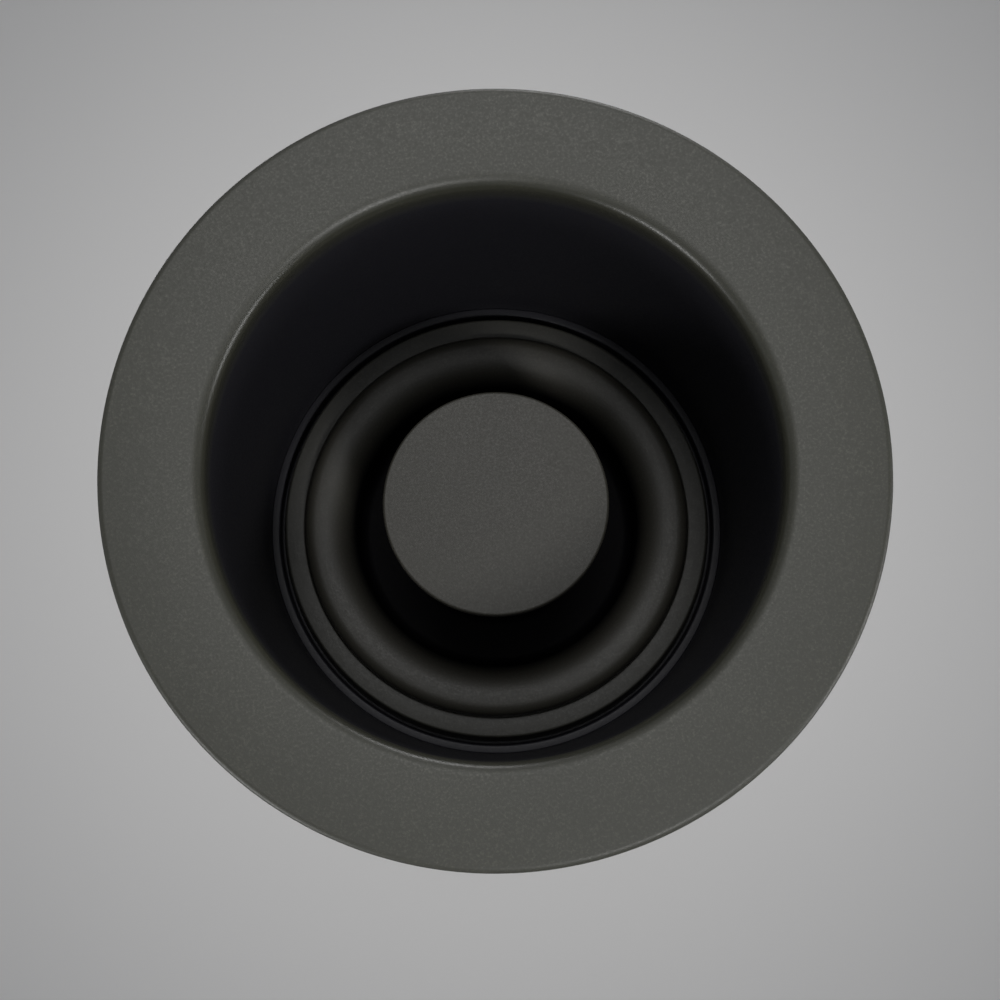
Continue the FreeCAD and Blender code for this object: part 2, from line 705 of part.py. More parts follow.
def discharge_gasket():
    """Flat rubber washer on the outlet pad."""
    ring = rod(PAD_MIDDLE_R, (0, PAD_Y + 0.05, OUTLET_Z), (0, PAD_Y + 2.0, OUTLET_Z))
    return ring.cut(rod(PIPE_BORE_R + 1.0, (0, PAD_Y - 1, OUTLET_Z), (0, PAD_Y + 4, OUTLET_Z)))


def discharge_flange():
    """Pressed plate that clamps the elbow's flared end to the outlet."""
    y0 = PAD_Y + 2.05
    plate = oval_plate(PAD_SPAN, PAD_EAR_R, PAD_MIDDLE_R + 0.5, y0, y0 + 4.5)
    flare_space = rod(FLARE_R + GAP, (0, y0 - 1, OUTLET_Z), (0, y0 + 2.1, OUTLET_Z))
    pipe_space = rod(PIPE_R + GAP, (0, y0 - 1, OUTLET_Z), (0, y0 + 9, OUTLET_Z))
    holes = [rod(2.8, (x, y0 - 1, OUTLET_Z), (x, y0 + 9, OUTLET_Z)) for x in (-PAD_SPAN, PAD_SPAN)]
    return cut_all(plate, [flare_space, pipe_space] + holes)


def discharge_screws():
    """Two hex-head screws through the discharge flange."""
    seat_y = PAD_Y + 2.05 + 4.5 + 0.03
    screws = []
    for x in (-PAD_SPAN, PAD_SPAN):
        head = hexagon(8.0, 0, 3.6)
        head.rotate(ORIGIN, FreeCAD.Vector(1, 0, 0), -90)
        shank = rod(2.45, (x, PAD_Y - 5.5, OUTLET_Z), (x, seat_y + 1, OUTLET_Z))
        screws.append(moved(head, x, seat_y, OUTLET_Z).fuse(shank))
    return Part.makeCompound(screws)


def bent_pipe(radius):
    """Pipe volume along the discharge path: out along +Y, round the bend and down."""
    start = FreeCAD.Vector(0, PAD_Y + 2.05, OUTLET_Z)
    turn = FreeCAD.Vector(0, PIPE_TURN_Y, OUTLET_Z)
    leg_y = PIPE_TURN_Y + BEND_R
    middle = FreeCAD.Vector(0, PIPE_TURN_Y + BEND_R * math.sin(math.pi / 4),
                            OUTLET_Z - BEND_R * (1 - math.cos(math.pi / 4)))
    drop = FreeCAD.Vector(0, leg_y, OUTLET_Z - BEND_R)
    end = FreeCAD.Vector(0, leg_y, PIPE_END_Z)
    path = Part.Wire([
        Part.LineSegment(start, turn).toShape(),
        Part.Arc(turn, middle, drop).toShape(),
        Part.LineSegment(drop, end).toShape(),
    ])
    section = Part.Wire(Part.makeCircle(radius, start, FreeCAD.Vector(0, 1, 0)))
    return path.makePipeShell([section], True, True)


def discharge_elbow():
    """Tailpipe elbow with a flared end."""
    flare = rod(FLARE_R, (0, PAD_Y + 2.05, OUTLET_Z), (0, PAD_Y + 4.05, OUTLET_Z))
    return bent_pipe(PIPE_R).fuse(flare).cut(bent_pipe(PIPE_BORE_R))


# ---- motor ------------------------------------------------------------------

def shaft_seal():
    """Lip seal that keeps water off the upper bearing."""
    low = DRAIN_FLOOR_Z + 8.02
    high = DRAIN_FLOOR_Z + 13.6
    return turned([
        (SHAFT_R + 0.06, low, 0.4),
        (BEARING_R + 0.95, low, 0.4),
        (BEARING_R + 0.95, high, 0.6),
        (SHAFT_R + 2.5, high - 1.0, 0.5),
        (SHAFT_R + 0.06, high, 0.3),
    ])


def bearing(low, high):
    """Plain sintered sleeve bearing."""
    return turned([
        (SHAFT_R + SHAFT_FIT, low, 0.5),
        (BEARING_R - 0.02, low, 0.5),
        (BEARING_R - 0.02, high, 0.5),
        (SHAFT_R + SHAFT_FIT, high, 0.5),
    ])


def upper_bearing():
    """Bearing in the drain housing's hub."""
    return bearing(CAN_TOP_Z - 9.5, DRAIN_FLOOR_Z + 7.9)


def lower_bearing():
    """Bearing in the base frame's hub."""
    return bearing(BASE_FLOOR_Z + 2.0, BASE_FLOOR_Z + 18.5)


def thrust_washer():
    """Hard washer between the rotor's shoulder ring and the lower bearing."""
    low = BASE_FLOOR_Z + 19.1
    return tube(13.0, SHAFT_R + SHAFT_FIT, low, low + 1.2)


def rotor_shaft():
    """Stepped shaft, threaded at the top and with a hexagon wrench socket below."""
    neck_z = TABLE_TOP_Z - TABLE_T - 6.0
    shaft = turned([
        (0.0, SHAFT_END_Z),
        (SHAFT_R, SHAFT_END_Z, 0.8),
        (SHAFT_R, neck_z - 0.02),
        (SHAFT_NECK_R, neck_z - 0.02),
        (SHAFT_NECK_R, SHAFT_TOP_Z, 0.8),
        (0.0, SHAFT_TOP_Z),
    ])
    return shaft.cut(hexagon(WRENCH_FLATS, SHAFT_END_Z - 1, SHAFT_END_Z + 12.0))


def rotor_core():
    """Rotor lamination stack."""
    return turned([
        (SHAFT_R + 0.01, STACK_END_Z),
        (ROTOR_R, STACK_END_Z, 0.5),
        (ROTOR_R, STACK_TOP_Z, 0.5),
        (SHAFT_R + 0.01, STACK_TOP_Z),
    ])


def rotor_end_rings():
    """Two cast end rings with cooling fins."""
    ring_t = 5.0
    fin_h = 4.0
    rings = []
    for face_z, side in ((STACK_TOP_Z + 0.02, 1), (STACK_END_Z - 0.02, -1)):
        far_z = face_z + side * ring_t
        fin_z = far_z + side * fin_h
        ring = tube(ROTOR_R - 1.6, 26.0, min(face_z, far_z), max(face_z, far_z))
        low = min(far_z - side, fin_z)
        high = max(far_z - side, fin_z)
        fins = around(block(28.0, 39.0, -1.2, 1.2, low, high), evenly(12))
        rings.append(ring.fuse(fins))
    return Part.makeCompound(rings)


def stator_core():
    """Stator lamination stack with winding slots and tie-bolt holes."""
    stack = tube(STATOR_R, STATOR_BORE_R, STACK_END_Z, STACK_TOP_Z)
    low = STACK_END_Z - 1
    high = STACK_TOP_Z + 1
    mouth = block(STATOR_BORE_R - 2, STATOR_BORE_R + 3, -1.2, 1.2, low, high)
    slot = block(STATOR_BORE_R + 2, STATOR_BORE_R + 16, -2.8, 2.8, low, high)
    bolt_hole = rod(TIE_BOLT_R + 0.2, (TIE_BOLT_CIRCLE_R, 0, low), (TIE_BOLT_CIRCLE_R, 0, high))
    cutters = around(mouth.fuse(slot), evenly(24)) + around(bolt_hole, evenly(4, 45.0))
    return cut_all(stack, cutters)


def winding(outer, inner, height, first_angle, span):
    """Four coil heads above and four below the stator stack."""
    bundles = []
    for face_z, side in ((STACK_TOP_Z + 0.1, 1), (STACK_END_Z - 0.1, -1)):
        far_z = face_z + side * height
        section = turned([
            (inner, min(face_z, far_z), 2.0),
            (outer, min(face_z, far_z), 2.0),
            (outer, max(face_z, far_z), 2.0),
            (inner, max(face_z, far_z), 2.0),
        ])
        for angle in evenly(4, first_angle):
            wedge = sector(outer + 5, 0, min(face_z, far_z) - 1, max(face_z, far_z) + 1, angle, span)
            bundles.append(section.common(wedge))
    return Part.makeCompound(bundles)


def main_winding():
    """Running coils, in the outer half of the slots."""
    return winding(61.5, 53.0, 11.0, 0.0, 84.0)


def start_winding():
    """Starting coils, in the inner half of the slots."""
    return winding(52.5, 45.5, 8.5, 45.0, 80.0)


def governor():
    """Disc on the shaft with two flyweights that lift the switch collar at speed."""
    high = STACK_END_Z - 11.0
    disc = tube(20.0, SHAFT_R + 0.01, high - 1.6, high)
    weights = around(block(13.0, 24.0, -5.0, 5.0, high - 4.2, high - 1.2), evenly(2, 90.0))
    return disc.fuse(weights)


def switch_collar():
    """Flanged collar that slides up the shaft and frees the start switch."""
    high = BASE_FLOOR_Z + 26.4
    return turned([
        (SHAFT_R + 0.06, high - 3.4, 0.3),
        (15.0, high - 3.4, 0.4),
        (15.0, high - 1.6, 0.4),
        (11.0, high - 1.6, 0.3),
        (11.0, high, 0.4),
        (SHAFT_R + 0.06, high, 0.3),
    ])


def start_switch():
    """Switch block on a post, with a spring blade held by the collar."""
    blade_z = BASE_FLOOR_Z + 21.1
    post = rod(4.0, (0, 34.0, BASE_FLOOR_Z + 0.05), (0, 34.0, blade_z - 0.5))
    body = block(-9.0, 9.0, 26.0, 42.0, BASE_FLOOR_Z + 12.0, blade_z)
    blade = block(-3.0, 3.0, 12.5, 30.0, blade_z - 0.6, blade_z + 0.6)
    return post.fuse([body, blade])


def motor_housing():
    """Drawn steel can with a row of vent slots near its lower edge."""
    can = turned([
        (MOTOR_BORE_R, CAN_END_Z + 0.05, 0.3),
        (MOTOR_R, CAN_END_Z + 0.05, 0.4),
        (MOTOR_R, CAN_TOP_Z - 0.05, 0.4),
        (MOTOR_BORE_R, CAN_TOP_Z - 0.05, 0.3),
    ])
    low = CAN_END_Z + 10.0
    high = CAN_END_Z + 22.0
    slot = block(MOTOR_BORE_R - 3, MOTOR_R + 3, -1.6, 1.6, low, high)
    ends = [rod(1.6, (MOTOR_BORE_R - 3, 0, z), (MOTOR_R + 3, 0, z)) for z in (low, high)]
    return cut_all(can, around(slot.fuse(ends), evenly(40)))


def base_frame():
    """Lower end frame: bearing hub, floor, wiring space and standing ring."""
    under = BASE_FLOOR_Z - BASE_FLOOR_T
    frame = turned([
        (9.5, under, 0.4),
        (BASE_FOOT_R, under, 0.6),
        (BASE_FOOT_R, BASE_Z, 1.0),
        (MOTOR_R, BASE_Z, 3.0),
        (MOTOR_R, CAN_END_Z, 0.6),
        (MOTOR_BORE_R - GAP, CAN_END_Z),
        (MOTOR_BORE_R - GAP, CAN_END_Z + 3.0, 0.4),
        (MOTOR_BORE_R - 2.6, CAN_END_Z + 3.0, 0.4),
        (MOTOR_BORE_R - 2.6, BASE_FLOOR_Z, 2.0),
        (HUB_R, BASE_FLOOR_Z, 2.0),
        (HUB_R, BASE_FLOOR_Z + 19.0, 0.6),
        (BEARING_R, BASE_FLOOR_Z + 19.0, 0.3),
        (BEARING_R, BASE_FLOOR_Z + 1.9),
        (9.5, BASE_FLOOR_Z + 1.9),
    ])
    wiring_walls = block(-66.0, -24.0, -31.0, 31.0, BASE_FLOOR_Z - 1, BASE_FLOOR_Z + 14.0)
    wiring_walls = wiring_walls.cut(block(-64.0, -26.0, -29.0, 29.0, BASE_FLOOR_Z - 2, BASE_FLOOR_Z + 15.0))
    tie_post = rod(5.2, (TIE_BOLT_CIRCLE_R - 2.0, 0, BASE_FLOOR_Z - 1), (TIE_BOLT_CIRCLE_R - 2.0, 0, CAN_END_Z))
    frame = frame.fuse([wiring_walls] + around(tie_post, evenly(4, 45.0)))
    hole_x, hole_y = CABLE_HOLE_AT
    reset_x, reset_y = RESET_AT
    cutters = [rod(CABLE_HOLE_R, (hole_x, hole_y, BASE_Z), (hole_x, hole_y, BASE_FLOOR_Z + 1))]
    cutters.append(block(-60.0, -34.0, -24.0, -6.0, BASE_Z, BASE_FLOOR_Z + 1))
    cutters.append(rod(RESET_R + GAP, (reset_x, reset_y, BASE_Z), (reset_x, reset_y, BASE_FLOOR_Z + 1)))
    cutters += around(rod(TIE_BOLT_R + 0.2, (TIE_BOLT_CIRCLE_R, 0, BASE_Z - 1), (TIE_BOLT_CIRCLE_R, 0, CAN_END_Z + 5)),
                      evenly(4, 45.0))
    cutters += around(rod(6.0, (TIE_BOLT_CIRCLE_R, 0, BASE_Z - 1), (TIE_BOLT_CIRCLE_R, 0, under)),
                      evenly(4, 45.0))
    vent = block(44.0, 60.0, -1.5, 1.5, under - 1, BASE_FLOOR_Z + 1)
    cutters += around(vent, [angle for angle in range(-20, 70, 10)])
    return cut_all(frame, cutters)


def tie_bolts():
    """Four long bolts that hold the base, stator and drain housing together."""
    under = BASE_FLOOR_Z - BASE_FLOOR_T
    head = moved(hexagon(8.0, under - 3.5, under - 0.03), TIE_BOLT_CIRCLE_R, 0)
    shank = rod(TIE_BOLT_R - 0.05, (TIE_BOLT_CIRCLE_R, 0, under - 1), (TIE_BOLT_CIRCLE_R, 0, DRAIN_FLOOR_Z - 1.5))
    return Part.makeCompound(around(head.fuse(shank), evenly(4, 45.0)))


def terminal_cover():
    """Plate over the wiring window in the base."""
    under = BASE_FLOOR_Z - BASE_FLOOR_T - 0.05
    plate = block(-62.5, -31.5, -26.5, -3.5, under - 1.5, under)
    raised = block(-59.5, -34.5, -23.5, -6.5, under - 2.3, under - 1.0)
    hole = rod(2.1, (-47.0, -15.0, BASE_Z), (-47.0, -15.0, BASE_FLOOR_Z))
    return plate.fuse(raised).cut(hole)


def terminal_cover_screw():
    """Screw in the middle of the terminal cover, with its clip nut inside."""
    under = BASE_FLOOR_Z - BASE_FLOOR_T - 2.38
    head = rod(3.8, (-47.0, -15.0, under - 2.0), (-47.0, -15.0, under))
    shank = rod(2.0, (-47.0, -15.0, under - 1), (-47.0, -15.0, BASE_FLOOR_Z + 6.0))
    nut = block(-52.0, -42.0, -20.0, -10.0, BASE_FLOOR_Z + 2.5, BASE_FLOOR_Z + 4.5)
    slot = block(-51, -43, -15.5, -14.5, under - 3, under - 1.2)
    return head.fuse([shank, nut]).cut(slot)


def ground_screw():
    """Earthing screw on the wiring floor."""
    x, y = -58.5, 25.0
    head = moved(hexagon(6.4, BASE_FLOOR_Z + 0.03, BASE_FLOOR_Z + 3.0), x, y)
    return head.fuse(rod(2.0, (x, y, BASE_FLOOR_Z + 2), (x, y, BASE_FLOOR_Z + 7.0)))


def overload_protector():
    """Thermal cut-out block on two posts above the reset button."""
    x, y = RESET_AT
    body = block(x - 12, x + 12, y - 9, y + 9, BASE_FLOOR_Z + 6.0, BASE_FLOOR_Z + 15.0)
    posts = [rod(2.6, (x + dx, y, BASE_FLOOR_Z + 0.05), (x + dx, y, BASE_FLOOR_Z + 7.0)) for dx in (-9.4, 9.4)]
    return body.fuse(posts)


def reset_button():
    """Push button that reaches through the base floor."""
    x, y = RESET_AT
    floor = BASE_FLOOR_Z
    button = turned([
        (0.0, floor - BASE_FLOOR_T - 3.4),
        (RESET_R, floor - BASE_FLOOR_T - 3.4, 1.2),
        (RESET_R, floor + 0.12),
        (6.3, floor + 0.12),
        (6.3, floor + 1.7, 0.4),
        (0.0, floor + 1.7),
    ])
    return moved(button, x, y)


# ---- jacket -----------------------------------------------------------------

def half_of(shape, side):
    """Front (side -1) or rear (side +1) half of a shell, less half the seam."""
    far = 120.0
    if side > 0:
        keep = block(-far, far, SEAM / 2, far, BASE_Z, 0)
    else:
        keep = block(-far, far, -far, -SEAM / 2, BASE_Z, 0)
    return shape.common(keep)


def outlet_opening():
    """Arched space for the outlet pad, open at the jacket's lower edge."""
    half_width = PAD_SPAN + PAD_EAR_R + 1.5
    top = OUTLET_Z + PAD_MIDDLE_R + 0.8
    low = DRAIN_FLOOR_Z - 6.0
    arch = rounded_wire([
        (-half_width, low),
        (half_width, low),
        (half_width, top, 15.0),
        (-half_width, top, 15.0),
    ])
    opening = Part.Face(arch).extrude(FreeCAD.Vector(0, 60, 0))
    return moved(opening, 0, 35.0)


def upper_jacket():
    """Upper tier: shoulder and tapering skirt, with the inlet's opening."""
    shell = turned([
        (51.6, JACKET_TOP_Z - 2.4, 0.5),
        (51.6, JACKET_TOP_Z, 0.8),
        (57.0, JACKET_TOP_Z, 7.0),
        (JACKET_SHOULDER_R, JACKET_TOP_Z - 9.0, 8.0),
        (JACKET_SPLIT_R, JACKET_SPLIT_Z, 0.6),
        (JACKET_SPLIT_R - JACKET_T, JACKET_SPLIT_Z, 0.3),
        (JACKET_SHOULDER_R - JACKET_T, JACKET_TOP_Z - 10.6, 6.2),
        (56.0, JACKET_TOP_Z - 2.4, 5.0),
    ])
    return shell.cut(rod(15.6, (50, 0, INLET_Z), (90, 0, INLET_Z)))


def lower_jacket():
    """Lower tier: tapering skirt down to the motor, with the outlet's opening."""
    low = DRAIN_FLOOR_Z + 0.1
    shell = turned([
        (JACKET_LOWER_TOP_R - JACKET_T, JACKET_LOWER_TOP_Z),
        (JACKET_LOWER_TOP_R, JACKET_LOWER_TOP_Z, 0.6),
        (JACKET_END_R, low),
        (JACKET_END_R - JACKET_T, low),
    ])
    return shell.cut(outlet_opening())


def upper_foam():
    """Sound-deadening sleeve round the grind chamber."""
    sleeve = turned([
        (CHAMBER_R + 0.3, SHOULDER_LOW_Z - 0.5),
        (CHAMBER_R + 1.8, SHOULDER_LOW_Z - 0.5),
        (JACKET_SPLIT_R - JACKET_T - 0.5, JACKET_SPLIT_Z + 1.0),
        (CHAMBER_R + 0.3, JACKET_SPLIT_Z + 1.0),
    ])
    sleeve.rotate(ORIGIN, UP, 90)
    return sleeve.cut(rod(15.4, (50, 0, INLET_Z), (90, 0, INLET_Z)))


def lower_foam():
    """Sound-deadening sleeve round the drain chamber."""
    low = DRAIN_FLOOR_Z + 3.0
    sleeve = turned([
        (CHAMBER_R + 0.3, low),
        (JACKET_END_R - JACKET_T - 0.6, low),
        (JACKET_LOWER_TOP_R - JACKET_T - 0.4, JACKET_LOWER_TOP_Z - 1.5),
        (CHAMBER_R + 0.3, JACKET_LOWER_TOP_Z - 1.5),
    ])
    return sleeve.cut(outlet_opening())


# ---- every node -------------------------------------------------------------

NODES = {
    "sink_flange": sink_flange,
    "throat_seat": throat_seat,
    "stopper_cap": stopper_cap,
    "stopper_carrier": stopper_carrier,
    "stopper_seal": stopper_seal,
    "stopper_screw": stopper_screw,
    "fibre_gasket": fibre_gasket,
    "backup_flange": backup_flange,
    "upper_mounting_ring": upper_mounting_ring,
    "mounting_bolts": mounting_bolts,
    "snap_ring": snap_ring,
    "mounting_gasket": mounting_gasket,
    "lower_mounting_ring": lower_mounting_ring,
    "grind_container": grind_container,
    "knockout_plug": knockout_plug,
    "grind_ring": grind_ring,
    "turntable": turntable,
    "swivel_lug_a": lambda: swivel_lug(0.0),
    "swivel_lug_b": lambda: swivel_lug(180.0),
    "lug_rivets": lug_rivets,
    "turntable_nut": turntable_nut,
    "chamber_gasket": chamber_gasket,
    "chamber_clamp": chamber_clamp,
    "clamp_bolt": clamp_bolt,
    "drain_housing": drain_housing,
    "discharge_gasket": discharge_gasket,
    "discharge_flange": discharge_flange,
    "discharge_screws": discharge_screws,
    "discharge_elbow": discharge_elbow,
    "shaft_seal": shaft_seal,
    "upper_bearing": upper_bearing,
    "lower_bearing": lower_bearing,
    "thrust_washer": thrust_washer,
    "rotor_shaft": rotor_shaft,
    "rotor_core": rotor_core,
    "rotor_end_rings": rotor_end_rings,
    "stator_core": stator_core,
    "main_winding": main_winding,
    "start_winding": start_winding,
    "governor": governor,
    "switch_collar": switch_collar,
    "start_switch": start_switch,
    "motor_housing": motor_housing,
    "base_frame": base_frame,
    "tie_bolts": tie_bolts,
    "terminal_cover": terminal_cover,
    "terminal_cover_screw": terminal_cover_screw,
    "ground_screw": ground_screw,
    "overload_protector": overload_protector,
    "reset_button": reset_button,
    "upper_jacket_front": lambda: half_of(upper_jacket(), -1),
    "upper_jacket_rear": lambda: half_of(upper_jacket(), 1),
    "lower_jacket_front": lambda: half_of(lower_jacket(), -1),
    "lower_jacket_rear": lambda: half_of(lower_jacket(), 1),
    "upper_foam": upper_foam,
    "lower_foam": lower_foam,
}

os.makedirs("parts", exist_ok=True)
for name, build in NODES.items():
    shape = build()
    shape.exportStep("parts/" + name + ".step")
    print(name, "solids", len(shape.Solids), "valid", shape.isValid(), "cm3", round(shape.Volume / 1000, 2))
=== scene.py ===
import json
import logging
import math
from dataclasses import dataclass
from enum import Enum
from typing import Callable, Iterable, Sequence

import bmesh
import bpy
from mathutils import Matrix, Vector


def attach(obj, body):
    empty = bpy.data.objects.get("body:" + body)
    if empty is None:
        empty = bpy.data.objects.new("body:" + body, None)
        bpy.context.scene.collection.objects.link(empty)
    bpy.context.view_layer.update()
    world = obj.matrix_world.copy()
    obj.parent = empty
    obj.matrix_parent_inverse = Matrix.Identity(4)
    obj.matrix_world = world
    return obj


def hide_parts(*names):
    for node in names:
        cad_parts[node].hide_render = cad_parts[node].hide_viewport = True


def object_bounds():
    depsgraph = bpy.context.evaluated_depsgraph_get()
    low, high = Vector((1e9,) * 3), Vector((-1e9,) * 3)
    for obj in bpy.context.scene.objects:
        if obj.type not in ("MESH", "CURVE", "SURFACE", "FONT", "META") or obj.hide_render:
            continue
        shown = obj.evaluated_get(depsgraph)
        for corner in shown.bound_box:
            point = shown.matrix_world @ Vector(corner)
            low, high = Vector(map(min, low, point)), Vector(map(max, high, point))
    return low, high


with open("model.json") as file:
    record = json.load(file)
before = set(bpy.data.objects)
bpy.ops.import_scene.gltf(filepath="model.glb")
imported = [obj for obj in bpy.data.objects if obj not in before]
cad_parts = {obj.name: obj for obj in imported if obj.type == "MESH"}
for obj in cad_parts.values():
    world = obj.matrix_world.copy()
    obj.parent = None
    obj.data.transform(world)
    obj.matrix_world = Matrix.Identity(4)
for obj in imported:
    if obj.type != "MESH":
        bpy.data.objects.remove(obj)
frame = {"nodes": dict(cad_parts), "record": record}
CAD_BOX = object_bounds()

LOG = logging.getLogger("disposer")
MM = 0.001
FULL_TURN = 2 * math.pi
Point = tuple[float, float, float]
Piece = bpy.types.Object
Socket = bpy.types.NodeSocket


# Modelling operations.

@dataclass(frozen=True)
class Corner:
    """One corner of a turned outline, in millimetres, with its rounding radius."""

    r: float
    z: float
    round: float = 0.0

    @property
    def at(self) -> Vector:
        """The corner's place as a vector."""
        return Vector((self.r, self.z))


def section(*rows: Sequence[float]) -> list[Corner]:
    """Corners from rows of radius, height and, where the corner is rounded, rounding radius."""
    return [Corner(*row) for row in rows]


def rounded_outline(corners: Sequence[Corner], closed: bool, steps: int) -> list[tuple[float, float]]:
    """Replace each rounded corner by points along its arc.

    Args:
        corners: The outline's corners in order.
        closed: Whether the last corner joins the first.
        steps: Segments in each arc.

    Returns:
        Points (r, z) in millimetres.
    """
    points: list[tuple[float, float]] = []
    count = len(corners)
    for i, corner in enumerate(corners):
        here = corner.at
        if corner.round <= 0 or (not closed and i in (0, count - 1)):
            points.append((here.x, here.y))
            continue
        back = (corners[i - 1].at - here).normalized()
        ahead = (corners[(i + 1) % count].at - here).normalized()
        half = back.angle(ahead) / 2
        reach = corner.round / math.tan(half)
        centre = here + (back + ahead).normalized() * (corner.round / math.sin(half))
        start = here + back * reach - centre
        end = here + ahead * reach - centre
        sweep = math.atan2(start.x * end.y - start.y * end.x, start.dot(end))
        for k in range(steps + 1):
            spoke = start.copy()
            spoke.rotate(Matrix.Rotation(sweep * k / steps, 2))
            points.append(tuple(centre + spoke))
    return points


def clear() -> None:
    """Leave edit mode and select nothing."""
    if bpy.context.object is not None and bpy.context.object.mode != "OBJECT":
        bpy.ops.object.mode_set(mode="OBJECT")
    bpy.ops.object.select_all(action="DESELECT")


def pick(piece: Piece) -> None:
    """Make one object the only selected and active one.

    Args:
        piece: The object.
    """
    clear()
    piece.select_set(True)
    bpy.context.view_layer.objects.active = piece


def edit(piece: Piece) -> None:
    """Open an object in edit mode with nothing selected.

    Args:
        piece: The object.
    """
    pick(piece)
    bpy.ops.object.mode_set(mode="EDIT")
    bpy.ops.mesh.select_all(action="DESELECT")


def close() -> None:
    """Go back to object mode."""
    bpy.ops.object.mode_set(mode="OBJECT")


def choose(piece: Piece, kind: str, test: Callable[[object], bool]) -> None:
    """Select vertices, edges or faces of the open mesh by a test.

    Args:
        piece: The object in edit mode.
        kind: "VERT", "EDGE" or "FACE".
        test: True for each element to select.
    """
    bpy.ops.mesh.select_mode(type=kind)
    bpy.ops.mesh.select_all(action="DESELECT")
    mesh = bmesh.from_edit_mesh(piece.data)
    elements = {"VERT": mesh.verts, "EDGE": mesh.edges, "FACE": mesh.faces}[kind]
    for element in elements:
        if test(element):
            element.select_set(True)
    mesh.select_flush_mode()
    bmesh.update_edit_mesh(piece.data)


def named(name: str) -> Piece:
    """Give the active object and its mesh a name.

    Args:
        name: The name.

    Returns:
        The active object.
    """
    piece = bpy.context.object
    piece.name = name
    piece.data.name = name
    return piece


def start_point(name: str) -> Piece:
    """A mesh of one vertex at the origin, open in edit mode.

    Args:
        name: The piece's name.

    Returns:
        The new piece.
    """
    clear()
    bpy.ops.mesh.primitive_plane_add(size=MM)
    piece = named(name)
    bpy.ops.object.mode_set(mode="EDIT")
    bpy.ops.mesh.select_mode(type="VERT")
    bpy.ops.mesh.select_all(action="SELECT")
    bpy.ops.mesh.merge(type="CENTER")
    return piece


def draw(points: Sequence[Point], closed: bool) -> None:
    """Extrude the single selected vertex of the open mesh along points in metres.

    Args:
        points: Places in order, in metres.
        closed: Whether to join the last to the first.
    """
    bpy.ops.transform.translate(value=Vector(points[0]))
    for before, here in zip(points, points[1:]):
        step = Vector(here) - Vector(before)
        bpy.ops.mesh.extrude_vertices_move(TRANSFORM_OT_translate={"value": step})
    if closed:
        piece = bpy.context.object
        ends = (Vector(points[0]), Vector(points[-1]))
        choose(piece, "VERT", lambda v: any((v.co - end).length < 1e-7 for end in ends))
        bpy.ops.mesh.edge_face_add()


def open_outline(name: str, corners: Sequence[Corner], closed: bool, steps: int) -> Piece:
    """A rounded outline in the XZ plane, open in edit mode with all of it selected.

    Args:
        name: The piece's name.
        corners: The outline, in millimetres.
        closed: Whether it is a closed loop.
        steps: Segments in each rounded corner.

    Returns:
        The new piece.
    """
    piece = start_point(name)
    draw([(r * MM, 0.0, z * MM) for r, z in rounded_outline(corners, closed, steps)], closed)
    bpy.ops.mesh.select_all(action="SELECT")
    return piece


def lathe(name: str, corners: Sequence[Corner], segments: int = 192, closed: bool = True,
          steps: int = 6) -> Piece:
    """Turn a rounded outline about the Z axis.

    Args:
        name: The piece's name.
        corners: The outline, in millimetres.
        segments: Facets round the turn.
        closed: Whether the outline is a closed loop.
        steps: Segments in each rounded corner.

    Returns:
        The new piece, smooth shaded, with its faces outwards.
    """
    piece = open_outline(name, corners, closed, steps)
    bpy.ops.mesh.spin(steps=segments, angle=FULL_TURN, center=(0, 0, 0), axis=(0, 0, 1))
    tidy_mesh()
    close()
    smooth(piece)
    return piece


def part_turn(name: str, corners: Sequence[Corner], first: float, last: float, segments: int = 96,
              steps: int = 4) -> Piece:
    """Turn a closed outline through part of a turn, with flat ends.

    Args:
        name: The piece's name.
        corners: The outline, in millimetres.
        first: Starting angle about Z in degrees, from +X.
        last: Ending angle in degrees.
        segments: Facets along the turn.
        steps: Segments in each rounded corner.

    Returns:
        The new closed piece.
    """
    piece = open_outline(name, corners, True, steps)
    bpy.ops.mesh.edge_face_add()
    bpy.ops.mesh.select_all(action="SELECT")
    bpy.ops.mesh.spin(steps=segments, angle=math.radians(first - last), center=(0, 0, 0), axis=(0, 0, 1))
    tidy_mesh()
    close()
    piece.data.transform(Matrix.Rotation(math.radians(first), 4, "Z"))
    smooth(piece)
    return piece


def threaded_rod(name: str, major_r: float, pitch: float, low: float, high: float,
                 segments: int = 24) -> Piece:
    """Screw thread on the Z axis, closed at both ends.

    Args:
        name: The piece's name.
        major_r: Crest radius in millimetres.
        pitch: Thread pitch in millimetres.
        low: Lower end in millimetres.
        high: Upper end in millimetres.
        segments: Facets round one turn.

    Returns:
        The threaded piece.
    """
    piece = start_point(name)
    root_r = major_r - 0.6 * pitch
    turns = int((high - low) / pitch) - 1
    flank = [(root_r, 0.0), (root_r, 0.12), (major_r, 0.42), (major_r, 0.58), (root_r, 0.88), (root_r, 1.0)]
    draw([(r * MM, 0.0, (low + step * pitch) * MM) for r, step in flank], False)
    close()
    winding = piece.modifiers.new("winding", "SCREW")
    winding.screw_offset = pitch * MM
    winding.iterations = turns
    winding.steps = segments
    winding.render_steps = segments
    winding.use_merge_vertices = True
    winding.use_normal_calculate = True
    apply(piece)
    edit(piece)
    tidy_mesh(2e-6)
    bpy.ops.mesh.select_mode(type="EDGE")
    bpy.ops.mesh.select_all(action="DESELECT")
    bpy.ops.mesh.select_non_manifold(extend=False)
    bpy.ops.mesh.fill()
    tidy_mesh(2e-6)
    close()
    smooth(piece, 50.0)
    return piece


